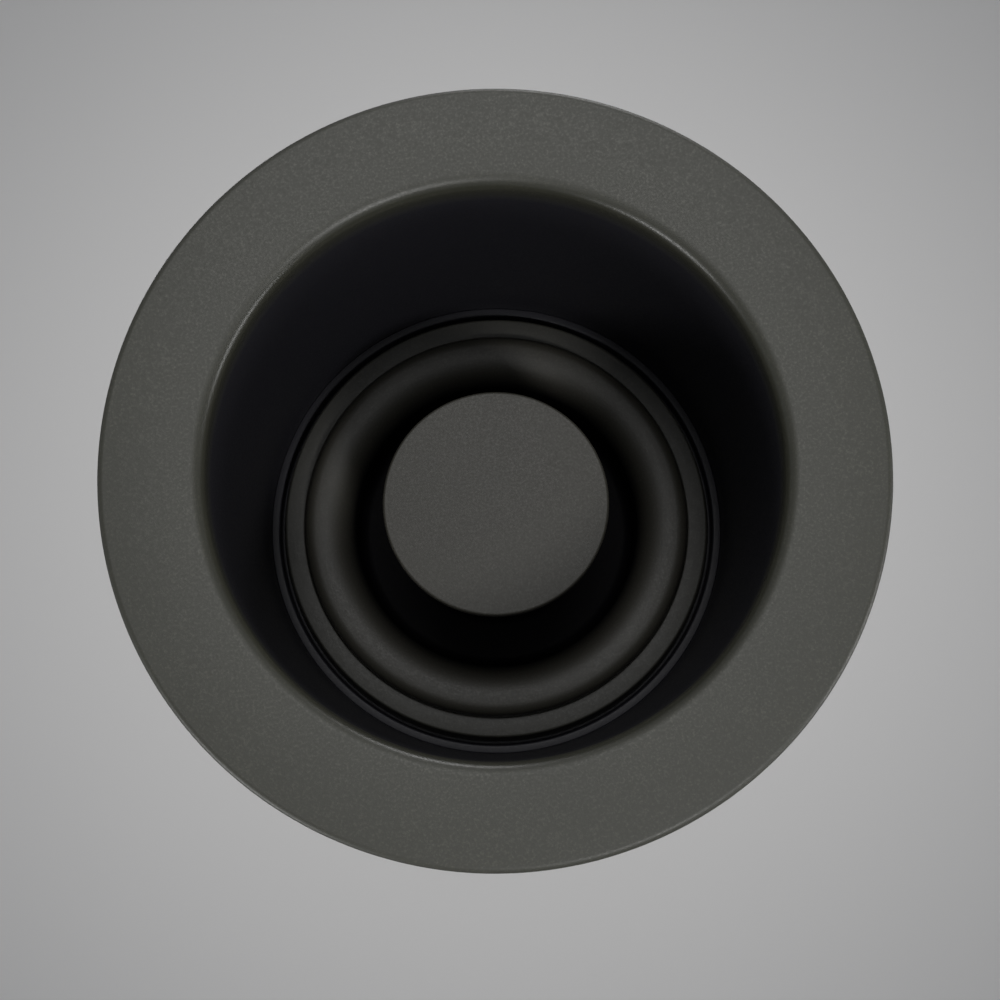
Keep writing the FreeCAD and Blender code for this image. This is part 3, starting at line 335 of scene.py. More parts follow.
def prism(name: str, sides: int, radius: float, low: float, high: float, bevel: float) -> Piece:
    """Upright prism or drum on the Z axis, bevelled on its end edges.

    Args:
        name: The piece's name.
        sides: Number of side faces.
        radius: Corner radius in millimetres.
        low: Lower end in millimetres.
        high: Upper end in millimetres.
        bevel: Width of the end bevels in millimetres.

    Returns:
        The new piece.
    """
    clear()
    bpy.ops.mesh.primitive_cylinder_add(vertices=sides, radius=radius * MM, depth=(high - low) * MM,
                                        location=(0, 0, (low + high) / 2 * MM))
    piece = named(name)
    settle(piece)
    if bevel > 0:
        edit(piece)
        ends = (low * MM, high * MM)
        choose(piece, "EDGE", lambda e: any(
            all(abs(v.co.z - end) < 1e-7 for v in e.verts) for end in ends))
        bpy.ops.mesh.bevel(offset=bevel * MM, segments=2, affect="EDGES")
        close()
    smooth(piece)
    return piece


def slab(name: str, low: Point, high: Point, bevel: float = 0.0) -> Piece:
    """Box between two corners in millimetres, with bevelled edges.

    Args:
        name: The piece's name.
        low: Its lowest corner.
        high: Its highest corner.
        bevel: Width of the bevels.

    Returns:
        The new piece.
    """
    clear()
    bpy.ops.mesh.primitive_cube_add(size=1.0)
    piece = named(name)
    piece.scale = [(b - a) * MM for a, b in zip(low, high)]
    piece.location = [(a + b) / 2 * MM for a, b in zip(low, high)]
    settle(piece)
    if bevel > 0:
        edit(piece)
        bpy.ops.mesh.select_all(action="SELECT")
        bpy.ops.mesh.bevel(offset=bevel * MM, segments=3, affect="EDGES")
        close()
    smooth(piece)
    return piece


def shift(piece: Piece, x: float = 0.0, y: float = 0.0, z: float = 0.0) -> Piece:
    """Move a piece's mesh by millimetres."""
    piece.data.transform(Matrix.Translation((x * MM, y * MM, z * MM)))
    return piece


def tilt(piece: Piece, degrees: float, axis: str) -> Piece:
    """Turn a piece's mesh about an axis through the origin."""
    piece.data.transform(Matrix.Rotation(math.radians(degrees), 4, axis))
    return piece


def tidy_mesh(threshold: float = 1e-6) -> None:
    """Merge doubles of the open mesh and turn its faces outwards.

    Args:
        threshold: Merging distance in metres.
    """
    bpy.ops.mesh.select_all(action="SELECT")
    bpy.ops.mesh.remove_doubles(threshold=threshold)
    bpy.ops.mesh.normals_make_consistent(inside=False)


def smooth(piece: Piece, degrees: float = 38.0) -> None:
    """Shade smooth except across sharp corners."""
    pick(piece)
    bpy.ops.object.shade_smooth_by_angle(angle=math.radians(degrees))


def apply(piece: Piece) -> None:
    """Apply every modifier of a piece in order.

    Args:
        piece: The piece.
    """
    pick(piece)
    for modifier in list(piece.modifiers):
        bpy.ops.object.modifier_apply(modifier=modifier.name)


def settle(piece: Piece) -> None:
    """Move an object's place and turn into its mesh."""
    pick(piece)
    bpy.ops.object.transform_apply(location=True, rotation=True, scale=True)


def join(name: str, pieces: Sequence[Piece]) -> Piece:
    """Join several objects into one, under a new name.

    Args:
        name: The new name.
        pieces: What to join.

    Returns:
        The joined object.
    """
    clear()
    for piece in pieces:
        piece.select_set(True)
    bpy.context.view_layer.objects.active = pieces[0]
    bpy.ops.object.join()
    return named(name)


def copies_around(piece: Piece, angles: Iterable[float]) -> list[Piece]:
    """Copies of a piece turned about the Z axis, each with its own mesh.

    Args:
        piece: What to copy.
        angles: One angle in degrees for each copy.

    Returns:
        The copies.
    """
    made = []
    for angle in angles:
        pick(piece)
        bpy.ops.object.duplicate()
        copy = bpy.context.object
        copy.data.transform(Matrix.Rotation(math.radians(angle), 4, "Z"))
        made.append(copy)
    return made


def carve(piece: Piece, cutter: Piece) -> None:
    """Cut one object out of another and remove the cutter.

    Args:
        piece: What is cut.
        cutter: What cuts it.
    """
    cut = piece.modifiers.new("cut", "BOOLEAN")
    cut.operation = "DIFFERENCE"
    cut.solver = "EXACT"
    cut.object = cutter
    apply(piece)
    pick(cutter)
    bpy.ops.object.delete()


# Finishes.

class Tree:
    """Short ways to add and join shader nodes of one material."""

    def __init__(self, name: str) -> None:
        """Start a material with a Principled shader and object coordinates.

        Args:
            name: The material's name.
        """
        self.material = bpy.data.materials.new(name)
        self.material.use_nodes = True
        self.nodes = self.material.node_tree.nodes
        self.links = self.material.node_tree.links
        self.shader = self.nodes["Principled BSDF"]
        self.coords = self.nodes.new("ShaderNodeTexCoord").outputs["Object"]

    def set(self, **values: float | tuple) -> None:
        """Set the shader's own sockets; underscores stand for spaces."""
        for key, value in values.items():
            self.shader.inputs[key.replace("_", " ")].default_value = value

    def link(self, source: Socket, socket: str) -> None:
        """Drive one of the shader's sockets."""
        self.links.new(source, self.shader.inputs[socket])

    def stretched(self, scale: Point) -> Socket:
        """Object coordinates stretched by a factor on each axis.

        Args:
            scale: The factors.

        Returns:
            The stretched coordinates.
        """
        mapping = self.nodes.new("ShaderNodeMapping")
        mapping.inputs["Scale"].default_value = scale
        self.links.new(self.coords, mapping.inputs["Vector"])
        return mapping.outputs["Vector"]

    def noise(self, scale: float, detail: float = 2.0, roughness: float = 0.5,
              vector: Socket | None = None) -> Socket:
        """Noise value at a scale in features per metre.

        Args:
            scale: Features per metre.
            detail: Octaves.
            roughness: Weight of the finer octaves.
            vector: Coordinates other than the object's own.

        Returns:
            The value, about 0 to 1.
        """
        node = self.nodes.new("ShaderNodeTexNoise")
        node.inputs["Scale"].default_value = scale
        node.inputs["Detail"].default_value = detail
        node.inputs["Roughness"].default_value = roughness
        self.links.new(vector or self.coords, node.inputs["Vector"])
        return node.outputs["Fac"]

    def height(self) -> Socket:
        """Height above the sink in metres.

        Returns:
            The Z coordinate.
        """
        split = self.nodes.new("ShaderNodeSeparateXYZ")
        self.links.new(self.coords, split.inputs["Vector"])
        return split.outputs["Z"]

    def cells(self, scale: float) -> Socket:
        """Distance to the nearest of scattered points.

        Args:
            scale: Points per metre.

        Returns:
            The distance.
        """
        node = self.nodes.new("ShaderNodeTexVoronoi")
        node.inputs["Scale"].default_value = scale
        self.links.new(self.coords, node.inputs["Vector"])
        return node.outputs["Distance"]

    def span(self, source: Socket, low: float, high: float, to_low: float,
             to_high: float) -> Socket:
        """Map one range of a value onto another, clamped.

        Args:
            source: The value.
            low: Start of its range.
            high: End of its range.
            to_low: Result at the start.
            to_high: Result at the end.

        Returns:
            The mapped value.
        """
        node = self.nodes.new("ShaderNodeMapRange")
        for socket, value in zip(("From Min", "From Max", "To Min", "To Max"), (low, high, to_low, to_high)):
            node.inputs[socket].default_value = value
        self.links.new(source, node.inputs["Value"])
        return node.outputs["Result"]

    def blend(self, factor: Socket, first: "Colour", second: "Colour") -> Socket:
        """Mix two colours, either fixed or from another node.

        Args:
            factor: Share of the second.
            first: The first colour.
            second: The second colour.

        Returns:
            The mixed colour.
        """
        node = self.nodes.new("ShaderNodeMix")
        node.data_type = "RGBA"
        self.links.new(factor, node.inputs["Factor"])
        for socket, colour in ((node.inputs[6], first), (node.inputs[7], second)):
            if isinstance(colour, tuple):
                socket.default_value = (*colour, 1.0)
            else:
                self.links.new(colour, socket)
        return node.outputs[2]

    def math(self, operation: str, first: Socket, second: float | Socket) -> Socket:
        """One arithmetic step.

        Args:
            operation: The math node's operation.
            first: First value.
            second: Second value, fixed or from a node.

        Returns:
            The result.
        """
        node = self.nodes.new("ShaderNodeMath")
        node.operation = operation
        self.links.new(first, node.inputs[0])
        if isinstance(second, (int, float)):
            node.inputs[1].default_value = second
        else:
            self.links.new(second, node.inputs[1])
        return node.outputs[0]

    def bump(self, height: Socket, depth: float, strength: float = 1.0,
             below: Socket | None = None) -> Socket:
        """Bump of a depth in metres, over an earlier bump if one is given.

        Args:
            height: Height field, 0 to 1.
            depth: Depth in metres.
            strength: Share of the depth.
            below: An earlier bump.

        Returns:
            The bumped normal.
        """
        node = self.nodes.new("ShaderNodeBump")
        node.inputs["Strength"].default_value = strength
        node.inputs["Distance"].default_value = depth
        self.links.new(height, node.inputs["Height"])
        if below is not None:
            self.links.new(below, node.inputs["Normal"])
        return node.outputs["Normal"]


Colour = tuple[float, float, float] | Socket


@dataclass(frozen=True)
class PowderCoat:
    """Matte baked powder with a fine grain and faint orange peel, and optional painted shade below a height."""

    name: str
    colour: tuple[float, float, float]
    fleck: tuple[float, float, float]
    roughness: float = 0.5
    grain: float = 2600.0
    depth: float = 0.00002
    # Painted shade: below the heights in deep the colour is darkened by this factor and tinted bluish.
    painted_shade_factor: float = 1.0
    deep: tuple[float, float] = (-0.0005, -0.005)
    painted_shade_tint: tuple[float, float, float] = (0.9, 0.88, 1.5)
    polish: float = 0.0

    def build(self) -> bpy.types.Material:
        """Make the material; below a height it is darkened and tinted bluish as painted shade, and polish
        smooths the mouth's lip.

        Returns:
            The material.
        """
        tree = Tree(self.name)
        fine = tree.noise(self.grain, 3.0, 0.65)
        cloud = tree.noise(45.0, 3.0)
        speck = tree.span(fine, 0.52, 0.74, 0.0, 1.0)
        base = tree.blend(speck, self.colour, self.fleck)
        darker = tuple(0.82 * value for value in self.colour)
        coat = tree.blend(tree.span(cloud, 0.35, 0.7, 0.0, 0.45), base, darker)
        # Painted shade: below the given heights the colour darkens and turns bluish, and the specular level
        # drops with it.
        if self.painted_shade_factor < 1.0:
            deep = tuple(self.painted_shade_factor * value * tint for value, tint in zip(self.colour, self.painted_shade_tint))
            depth = tree.span(tree.height(), *self.deep, 0.0, 1.0)
            coat = tree.blend(depth, coat, deep)
            tree.link(tree.span(depth, 0.0, 1.0, 0.5, 0.5 * self.painted_shade_factor), "Specular IOR Level")
        tree.link(coat, "Base Color")
        rough = tree.span(fine, 0.3, 0.7, self.roughness + 0.08, self.roughness - 0.06)
        if self.polish > 0.0:
            above = tree.span(tree.height(), 0.0008, 0.0013, 1.0, 0.0)
            below = tree.span(tree.height(), -0.0035, -0.0022, 0.0, self.polish)
            rough = tree.math("SUBTRACT", rough, tree.math("MULTIPLY", below, above))
        tree.link(rough, "Roughness")
        peel = tree.bump(tree.noise(520.0, 1.0), self.depth * 1.6, 0.35)
        tree.link(tree.bump(fine, self.depth, 0.8, peel), "Normal")
        return tree.material


@dataclass(frozen=True)
class Moulded:
    """Moulded plastic or rubber with a spark-eroded grain."""

    name: str
    colour: tuple[float, float, float]
    roughness: float = 0.5
    grain: float = 1500.0
    depth: float = 0.00002
    tint: float = 0.15

    def build(self) -> bpy.types.Material:
        """Make the material.

        Returns:
            The material.
        """
        tree = Tree(self.name)
        grain = tree.noise(self.grain, 2.0, 0.6)
        cloud = tree.noise(30.0, 4.0)
        lighter = tuple(value * (1.0 + self.tint) + 0.002 for value in self.colour)
        tree.link(tree.blend(tree.span(cloud, 0.35, 0.65, 0.0, 1.0), self.colour, lighter), "Base Color")
        smudge = tree.noise(14.0, 4.0, 0.6)
        tree.link(tree.span(smudge, 0.3, 0.7, self.roughness - 0.06, self.roughness + 0.09), "Roughness")
        tree.link(tree.bump(grain, self.depth, 0.7), "Normal")
        return tree.material


class Lay(Enum):
    """Direction of a metal's brushing."""

    ROUND = (1.0, 1.0, 60.0)
    NONE = (1.0, 1.0, 1.0)


@dataclass(frozen=True)
class Metal:
    """Bare or plated metal with brushing or casting grain and dull patches."""

    name: str
    colour: tuple[float, float, float]
    roughness: float = 0.35
    lay: Lay = Lay.NONE
    grain: float = 900.0
    depth: float = 0.000012
    patch: float = 0.12

    def build(self) -> bpy.types.Material:
        """Make the material.

        Returns:
            The material.
        """
        tree = Tree(self.name)
        tree.set(Metallic=1.0)
        if self.lay is Lay.NONE:
            grain = tree.noise(self.grain, 4.0, 0.6)
        else:
            grain = tree.noise(self.grain / 12.0, 3.0, 0.6, tree.stretched(self.lay.value))
        cloud = tree.noise(55.0, 4.0, 0.6)
        dull = tuple(value * (1.0 - 1.6 * self.patch) for value in self.colour)
        tree.link(tree.blend(tree.span(cloud, 0.4, 0.7, 0.0, 1.0), self.colour, dull), "Base Color")
        rough = tree.span(cloud, 0.35, 0.7, self.roughness, self.roughness + self.patch)
        rough = tree.math("ADD", rough, tree.span(grain, 0.3, 0.7, -0.05, 0.05))
        tree.link(rough, "Roughness")
        tree.link(tree.bump(grain, self.depth, 0.8), "Normal")
        return tree.material


@dataclass(frozen=True)
class Fibrous:
    """Pressed fibre sheet or open foam, mottled and quite rough."""

    name: str
    colour: tuple[float, float, float]
    second: tuple[float, float, float]
    scale: float = 700.0
    depth: float = 0.0001

    def build(self) -> bpy.types.Material:
        """Make the material.

        Returns:
            The material.
        """
        tree = Tree(self.name)
        cells = tree.cells(self.scale)
        mottle = tree.noise(self.scale / 3.0, 5.0, 0.7)
        tree.link(tree.blend(tree.span(mottle, 0.35, 0.65, 0.0, 1.0), self.colour, self.second), "Base Color")
        tree.link(tree.span(mottle, 0.3, 0.7, 0.8, 0.95), "Roughness")
        tree.link(tree.bump(cells, self.depth, 0.8), "Normal")
        return tree.material


@dataclass(frozen=True)
class Stacked:
    """Edges of stacked laminations, as fine level lines."""

    name: str
    colour: tuple[float, float, float]
    pitch: float = 0.0009

    def build(self) -> bpy.types.Material:
        """Make the material.

        Returns:
            The material.
        """
        tree = Tree(self.name)
        tree.set(Metallic=0.9)
        wave = tree.nodes.new("ShaderNodeTexWave")
        wave.bands_direction = "Z"
        wave.inputs["Scale"].default_value = 0.314 / self.pitch
        wave.inputs["Distortion"].default_value = 0.4
        tree.links.new(tree.coords, wave.inputs["Vector"])
        dark = tuple(value * 0.55 for value in self.colour)
        tree.link(tree.blend(wave.outputs["Fac"], dark, self.colour), "Base Color")
        tree.link(tree.span(tree.noise(300.0, 3.0), 0.3, 0.7, 0.38, 0.56), "Roughness")
        tree.link(tree.bump(wave.outputs["Fac"], 0.00004, 0.6), "Normal")
        return tree.material


FINISHES: dict[str, PowderCoat | Moulded | Metal | Fibrous | Stacked] = {
    "black_coat": PowderCoat("black_powder_coat", (0.0235, 0.0228, 0.0184), (0.036, 0.0353, 0.029), 0.56),
    # Painted shade: this finish darkens the flange and seat ring below the mouth and tints them bluish.
    "throat_painted_shade": PowderCoat("black_throat_painted_shade", (0.0282, 0.0282, 0.0208), (0.051, 0.050, 0.037), 0.50,
                              painted_shade_factor=0.55, polish=0.18),
    # Painted shade: this finish darkens the cap's well below its crest almost to black.
    "well_painted_shade": PowderCoat("black_well_painted_shade", (0.0280, 0.0264, 0.0206), (0.041, 0.0388, 0.030), 0.54,
                            painted_shade_factor=0.08, deep=(-0.0592, -0.0632)),
    "seal_rubber": Moulded("black_seal_rubber", (0.018, 0.018, 0.018), 0.62, 1100.0, 0.00003),
    "fibre_sheet": Fibrous("red_brown_fibre", (0.26, 0.10, 0.06), (0.34, 0.15, 0.09), 900.0, 0.00005),
    "plated_steel": Metal("zinc_plated_steel", (0.62, 0.61, 0.58), 0.34),
    "black_steel": PowderCoat("satin_black_steel", (0.03, 0.03, 0.031), (0.055, 0.055, 0.055), 0.42),
    "stainless": Metal("brushed_stainless", (0.63, 0.62, 0.60), 0.28, Lay.ROUND),
    "cast_metal": Metal("die_cast_alloy", (0.50, 0.50, 0.51), 0.48, Lay.NONE, 600.0, 0.00005),
    "jacket_plastic": Moulded("charcoal_jacket_plastic", (0.055, 0.057, 0.062), 0.48, 1300.0, 0.00003),
    "motor_paint": PowderCoat("motor_can_paint", (0.028, 0.028, 0.03), (0.05, 0.05, 0.052), 0.38),
    "base_plastic": Moulded("black_base_plastic", (0.026, 0.026, 0.028), 0.5, 1500.0, 0.00003),
    "pipe_plastic": Moulded("black_pipe_plastic", (0.022, 0.022, 0.023), 0.34, 700.0, 0.00001),
    "foam": Fibrous("grey_foam", (0.13, 0.13, 0.14), (0.19, 0.19, 0.20), 1400.0, 0.0003),
    "lamination_steel": Stacked("stacked_laminations", (0.36, 0.36, 0.38)),
    "copper_wire": Metal("lacquered_copper", (0.72, 0.33, 0.14), 0.3, Lay.ROUND, 2400.0, 0.00012),
    "sintered_bronze": Metal("sintered_bronze", (0.55, 0.36, 0.17), 0.45),
    "bright_steel": Metal("bright_steel", (0.68, 0.68, 0.67), 0.22, Lay.ROUND),
    "switch_plastic": Moulded("phenolic_switch_plastic", (0.12, 0.065, 0.035), 0.45),
    "red_plastic": Moulded("red_button_plastic", (0.55, 0.02, 0.02), 0.3, 900.0, 0.00001),
    "green_screw": Metal("green_dyed_plating", (0.03, 0.33, 0.11), 0.35),
}


class Paint:
    """Builds each finish once and dresses pieces with it."""

    made: dict[str, bpy.types.Material] = {}

    @classmethod
    def of(cls, slot: str) -> bpy.types.Material:
        """The material for one of the record's slots.

        Args:
            slot: The slot.

        Returns:
            Its material, made once.
        """
        if slot not in cls.made:
            cls.made[slot] = FINISHES[slot].build()
        return cls.made[slot]

    @classmethod
    def dress(cls, piece: Piece, slot: str) -> None:
        """Give a piece one finish all over."""
        piece.data.materials.clear()
        piece.data.materials.append(cls.of(slot))

    @classmethod
    def dress_frame(cls) -> None:
        """Give every CAD node the finish of its slot."""
        for entry in frame["record"]["subparts"]:
            node = frame["nodes"][entry["node"]]
            cls.dress(node, entry["material_slot"])


def place(piece: Piece, body: str, slot: str, *nodes: str, finish: str = "") -> None:
    """Finish a new piece: attach it to its body, dress it in its finish (the slot's own unless another is
    given), and hide the CAD nodes it stands for.

    Args:
        piece: The modelled piece.
        body: The CAD body it moves with.
        slot: The record's material slot.
        nodes: The CAD nodes it replaces.
        finish: A finish other than the slot's own, or "".
    """
    Paint.dress(piece, finish or slot)
    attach(piece, body)
    if nodes:
        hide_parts(*nodes)
    LOG.info("%s on %s: %d faces", piece.name, body, len(piece.data.polygons))


# Sink flange and stopper.

@dataclass
class SinkFlange:
    """The rim in the sink, its throat tube and the seat ring in it, in millimetres."""

    rim_r: float = 57.15
    rim_t: float = 1.9
    inner_t: float = 1.4
    throat_r: float = 42.0
    tube_r: float = 43.3
    mouth_round: float = 2.1
    ledge_r: float = 40.5
    ledge_z: float = -64.5
    seat_z: float = -67.2
    drop_r: float = 36.6
    end_z: float = -71.0
    groove_z: float = -61.5
    groove_half: float = 1.1
    groove_depth: float = 0.5

    def body(self) -> None:
        """Turn the rim and tube as one drawn wall, with the snap ring's groove outside."""
        groove_r = self.tube_r - self.groove_depth
        low, high = self.groove_z - self.groove_half, self.groove_z + self.groove_half
        corners = section(
            (self.rim_r, 0.0, 0.3), (self.rim_r, self.rim_t, 1.0),
            (self.throat_r, self.inner_t, self.mouth_round), (self.throat_r, self.end_z, 0.2),
            (self.tube_r, self.end_z, 0.6), (self.tube_r, low), (groove_r, low), (groove_r, high),
            (self.tube_r, high), (self.tube_r, 0.0, 0.8))
        piece = lathe("flange_body", corners, 256, steps=8)
        # The flange's finish paints shade down the throat.
        place(piece, "housing", "black_coat", "sink_flange", finish="throat_painted_shade")

    def seat(self) -> None:
        """Turn the stepped ring that the stopper sits in."""
        corners = section(
            (self.throat_r, self.ledge_z, 0.2), (self.ledge_r, self.ledge_z, 0.4),
            (self.ledge_r, self.seat_z, 0.4), (self.drop_r, self.seat_z, 0.5), (self.drop_r, self.end_z, 0.5),
            (self.throat_r, self.end_z, 0.2))
        piece = lathe("seat_ring", corners, 256)
        # The seat ring's finish paints shade deep in the throat.
        place(piece, "housing", "black_coat", "throat_seat", finish="throat_painted_shade")

    def build(self) -> None:
        """Build the flange and the ring pressed into it."""
        self.body()
        self.seat()


@dataclass
class Stopper:
    """The lift-out stopper: knobbed cap, carrier rim and cup, and seal."""

    cap_r: float = 35.25
    cap_wall: float = 2.6
    crest_z: float = -58.6
    well_r: float = 26.0
    well_floor_z: float = -71.9
    under_z: float = -73.9
    shelf_z: float = -62.85
    neck_r: float = 15.6
    knob_r: float = 19.0
    knob_top_z: float = -34.7
    rim_r: float = 39.12
    rim_hole_r: float = 35.44
    rim_top_z: float = -61.7
    rim_t: float = 2.4
    cup_r: float = 35.0
    floor_z: float = -76.0
    wall: float = 2.0
    knob_flare: float = 5.0
    knob_edge: float = 2.6
    drains: int = 6
    drain_r: float = 4.0
    drain_circle: float = 23.0
    rib_in: float = 29.1
    rib_out: float = 33.4
    rib_half: float = 1.0
    rib_top: float = -66.0
    seal_r: float = 39.9
    seat_z: float = -67.15

    def cap(self) -> None:
        """Knob on a post, standing in a well with a rounded lip."""
        corners = section(
            (0.0, self.under_z), (self.well_r + self.cap_wall, self.under_z, 1.0),
            (self.well_r + self.cap_wall, self.shelf_z), (self.cap_r, self.shelf_z, 0.2),
            (self.cap_r, self.crest_z, 2.2), (self.well_r, self.crest_z, 6.0),
            (self.well_r, self.well_floor_z, 2.0), (self.neck_r, self.well_floor_z, 3.0),
            (self.neck_r, self.knob_top_z - self.knob_flare, 5.0),
            (self.knob_r, self.knob_top_z - self.knob_edge, 0.8),
            (self.knob_r, self.knob_top_z, 0.5), (0.0, self.knob_top_z))
        piece = lathe("knob_cap", corners, 192, closed=False, steps=8)
        # The cap's finish paints shade into its well.
        place(piece, "stopper", "black_coat", "stopper_cap", finish="well_painted_shade")

    def carrier(self) -> None:
        """Flat rim on a drilled cup, with three centring ribs inside."""
        under_rim, floor = self.rim_top_z - self.rim_t, self.floor_z + self.wall
        inner_r, shelf = self.cup_r - self.wall, self.shelf_z - 0.05
        corners = section(
            (0.0, self.floor_z), (self.cup_r, self.floor_z, 2.0), (self.cup_r, under_rim),
            (self.rim_r, under_rim, 0.4), (self.rim_r, self.rim_top_z, 0.5),
            (self.rim_hole_r, self.rim_top_z, 0.4), (self.rim_hole_r, shelf), (inner_r, shelf),
            (inner_r, floor, 1.0), (0.0, floor))
        piece = lathe("carrier_cup", corners, 144, closed=False)
        drill = prism("drain_drill", 24, self.drain_r, self.floor_z - 2, self.floor_z + 6, 0.0)
        shift(drill, self.drain_circle)
        tilt(drill, 180.0 / self.drains, "Z")
        others = copies_around(drill, [360.0 * k / self.drains for k in range(1, self.drains)])
        carve(piece, join("drain_drills", [drill, *others]))
        smooth(piece)
        rib = slab("centring_rib", (self.rib_in, -self.rib_half, self.floor_z + 1.6),
                   (self.rib_out, self.rib_half, self.rib_top), 0.3)
        piece = join("carrier_cup", [piece, rib, *copies_around(rib, (120.0, 240.0))])
        place(piece, "stopper", "black_coat", "stopper_carrier")

    def seal(self) -> None:
        """Rubber ring with a thin wiping lip."""
        high = self.rim_top_z - self.rim_t - 0.04
        corners = section(
            (self.cup_r + 0.15, self.seat_z, 0.4), (self.seal_r - 0.8, self.seat_z, 0.6),
            (self.seal_r, self.seat_z + 1.55, 0.5), (self.rim_r - 0.6, high, 0.2),
            (self.cup_r + 0.15, high, 0.2))
        piece = lathe("seal_ring", corners, 144)
        place(piece, "stopper", "seal_rubber", "stopper_seal")

    def build(self) -> None:
        """Build the stopper's pieces."""
        self.cap()
        self.carrier()
        self.seal()


# Three-bolt mount.

@dataclass
class SinkMount:
    """Clamping bolts, rings and the rubber cushion under the sink."""

    bolt_circle: float = 51.5
    bolt_angles: tuple[float, ...] = (30.0, 150.0, 270.0)
    bolt_r: float = 3.0
    pitch: float = 1.27
    tip_z: float = -13.4
    head_z: float = -65.8
    head_t: float = 4.0
    gasket_top: float = -71.1
    collar_z: float = -81.4
    collar_r: float = 55.8
    drop_r: float = 39.0
    tube_r: float = 43.7
    leaves: int = 8
    leaf_gap: float = 1.8
    leaf_tip_r: float = 7.0
    sheet_r: float = 46.2
    sheet_top: float = -83.5
    cone: float = 4.0
    tip_r: float = 1.0
    hex_r: float = 5.7
    slot_half: float = 0.7
    slot_depth: float = 1.5

    def bolts(self) -> None:
        """Three threaded bolts with slotted hex heads and cone tips."""
        under = self.head_z - self.head_t
        thread = threaded_rod("bolt_thread", self.bolt_r, self.pitch, self.head_z - 0.5, self.tip_z - 1.0)
        root, cone_z = self.bolt_r - 0.7, self.tip_z - self.cone
        tip = lathe("bolt_tip", section(
            (0.0, cone_z), (root, cone_z), (root, self.tip_z - 1.2, 0.4), (self.tip_r, self.tip_z, 0.3),
            (0.0, self.tip_z)), 24, closed=False)
        head = lathe("bolt_head", section(
            (0.0, under), (4.6, under, 0.2), (self.hex_r, under + 0.7, 0.2), (self.hex_r, self.head_z, 0.2),
            (0.0, self.head_z)), 6, closed=False, steps=2)
        flange = prism("bolt_flange", 32, 5.4, self.head_z - 0.05, self.head_z + 0.5, 0.15)
        slot = slab("slot_cutter", (-7, -self.slot_half, under - 1),
                    (7, self.slot_half, under + self.slot_depth))
        carve(head, slot)
        smooth(head, 25.0)
        bolt = join("mount_bolt_1", [thread, tip, head, flange])
        shift(bolt, self.bolt_circle)
        tilt(bolt, self.bolt_angles[0], "Z")
        turns = [angle - self.bolt_angles[0] for angle in self.bolt_angles[1:]]
        for number, copy in enumerate(copies_around(bolt, turns), 2):
            copy.name = f"mount_bolt_{number}"
            place(copy, "housing", "plated_steel", "mounting_bolts")
        place(bolt, "housing", "plated_steel", "mounting_bolts")

    def cushion(self) -> None:
        """Ribbed rubber cushion that wraps the collar and carries the splash baffle."""
        top, low = self.gasket_top, self.collar_z
        sheet_r, sheet_top = self.sheet_r, self.sheet_top
        tube_r, collar_r = self.tube_r, self.collar_r
        corners = section(
            (self.drop_r, top - 3.2, 0.8), (self.drop_r, top, 0.5), (tube_r, top, 0.2),
            (tube_r, top + 5.0, 0.6), (tube_r + 1.6, top + 5.0, 0.6), (tube_r + 2.0, top - 1.0, 1.0),
            (collar_r - 2.5, top - 1.0, 1.2), (collar_r - 1.4, top - 3.0, 0.6),
            (collar_r - 0.2, top - 3.6, 0.6), (collar_r - 0.8, top - 5.2, 0.6),
            (collar_r + 0.4, top - 6.0, 0.6), (collar_r + 0.1, top - 7.6, 0.6), (collar_r + 1.6, low, 1.0),
            (collar_r + 1.6, low - 2.7, 0.4), (collar_r + 0.1, low - 2.7, 0.4), (collar_r + 0.1, low, 0.2),
            (sheet_r + 0.3, low), (sheet_r + 0.3, sheet_top - 5.0, 0.8), (sheet_r - 1.7, sheet_top - 5.0, 0.8),
            (sheet_r - 1.7, top - 5.2, 2.0))
        cushion = lathe("splash_cushion", corners, 144, steps=4)
        leaf_span = 360.0 / self.leaves
        outline = section(
            (self.leaf_tip_r, sheet_top - 2.0, 0.3), (sheet_r - 1.2, sheet_top - 2.0),
            (sheet_r - 1.2, sheet_top), (self.leaf_tip_r, sheet_top, 0.3))
        leaf = part_turn("baffle_leaf", outline, self.leaf_gap / 2, leaf_span - self.leaf_gap / 2, 12, 2)
        leaves = copies_around(leaf, [leaf_span * k for k in range(1, self.leaves)])
        piece = join("splash_cushion", [cushion, leaf, *leaves])
        place(piece, "housing", "seal_rubber", "mounting_gasket")

    def build(self) -> None:
        """Build the mount's modelled pieces; the rings stay as the frame has them."""
        self.bolts()
        self.cushion()


# Jacket.

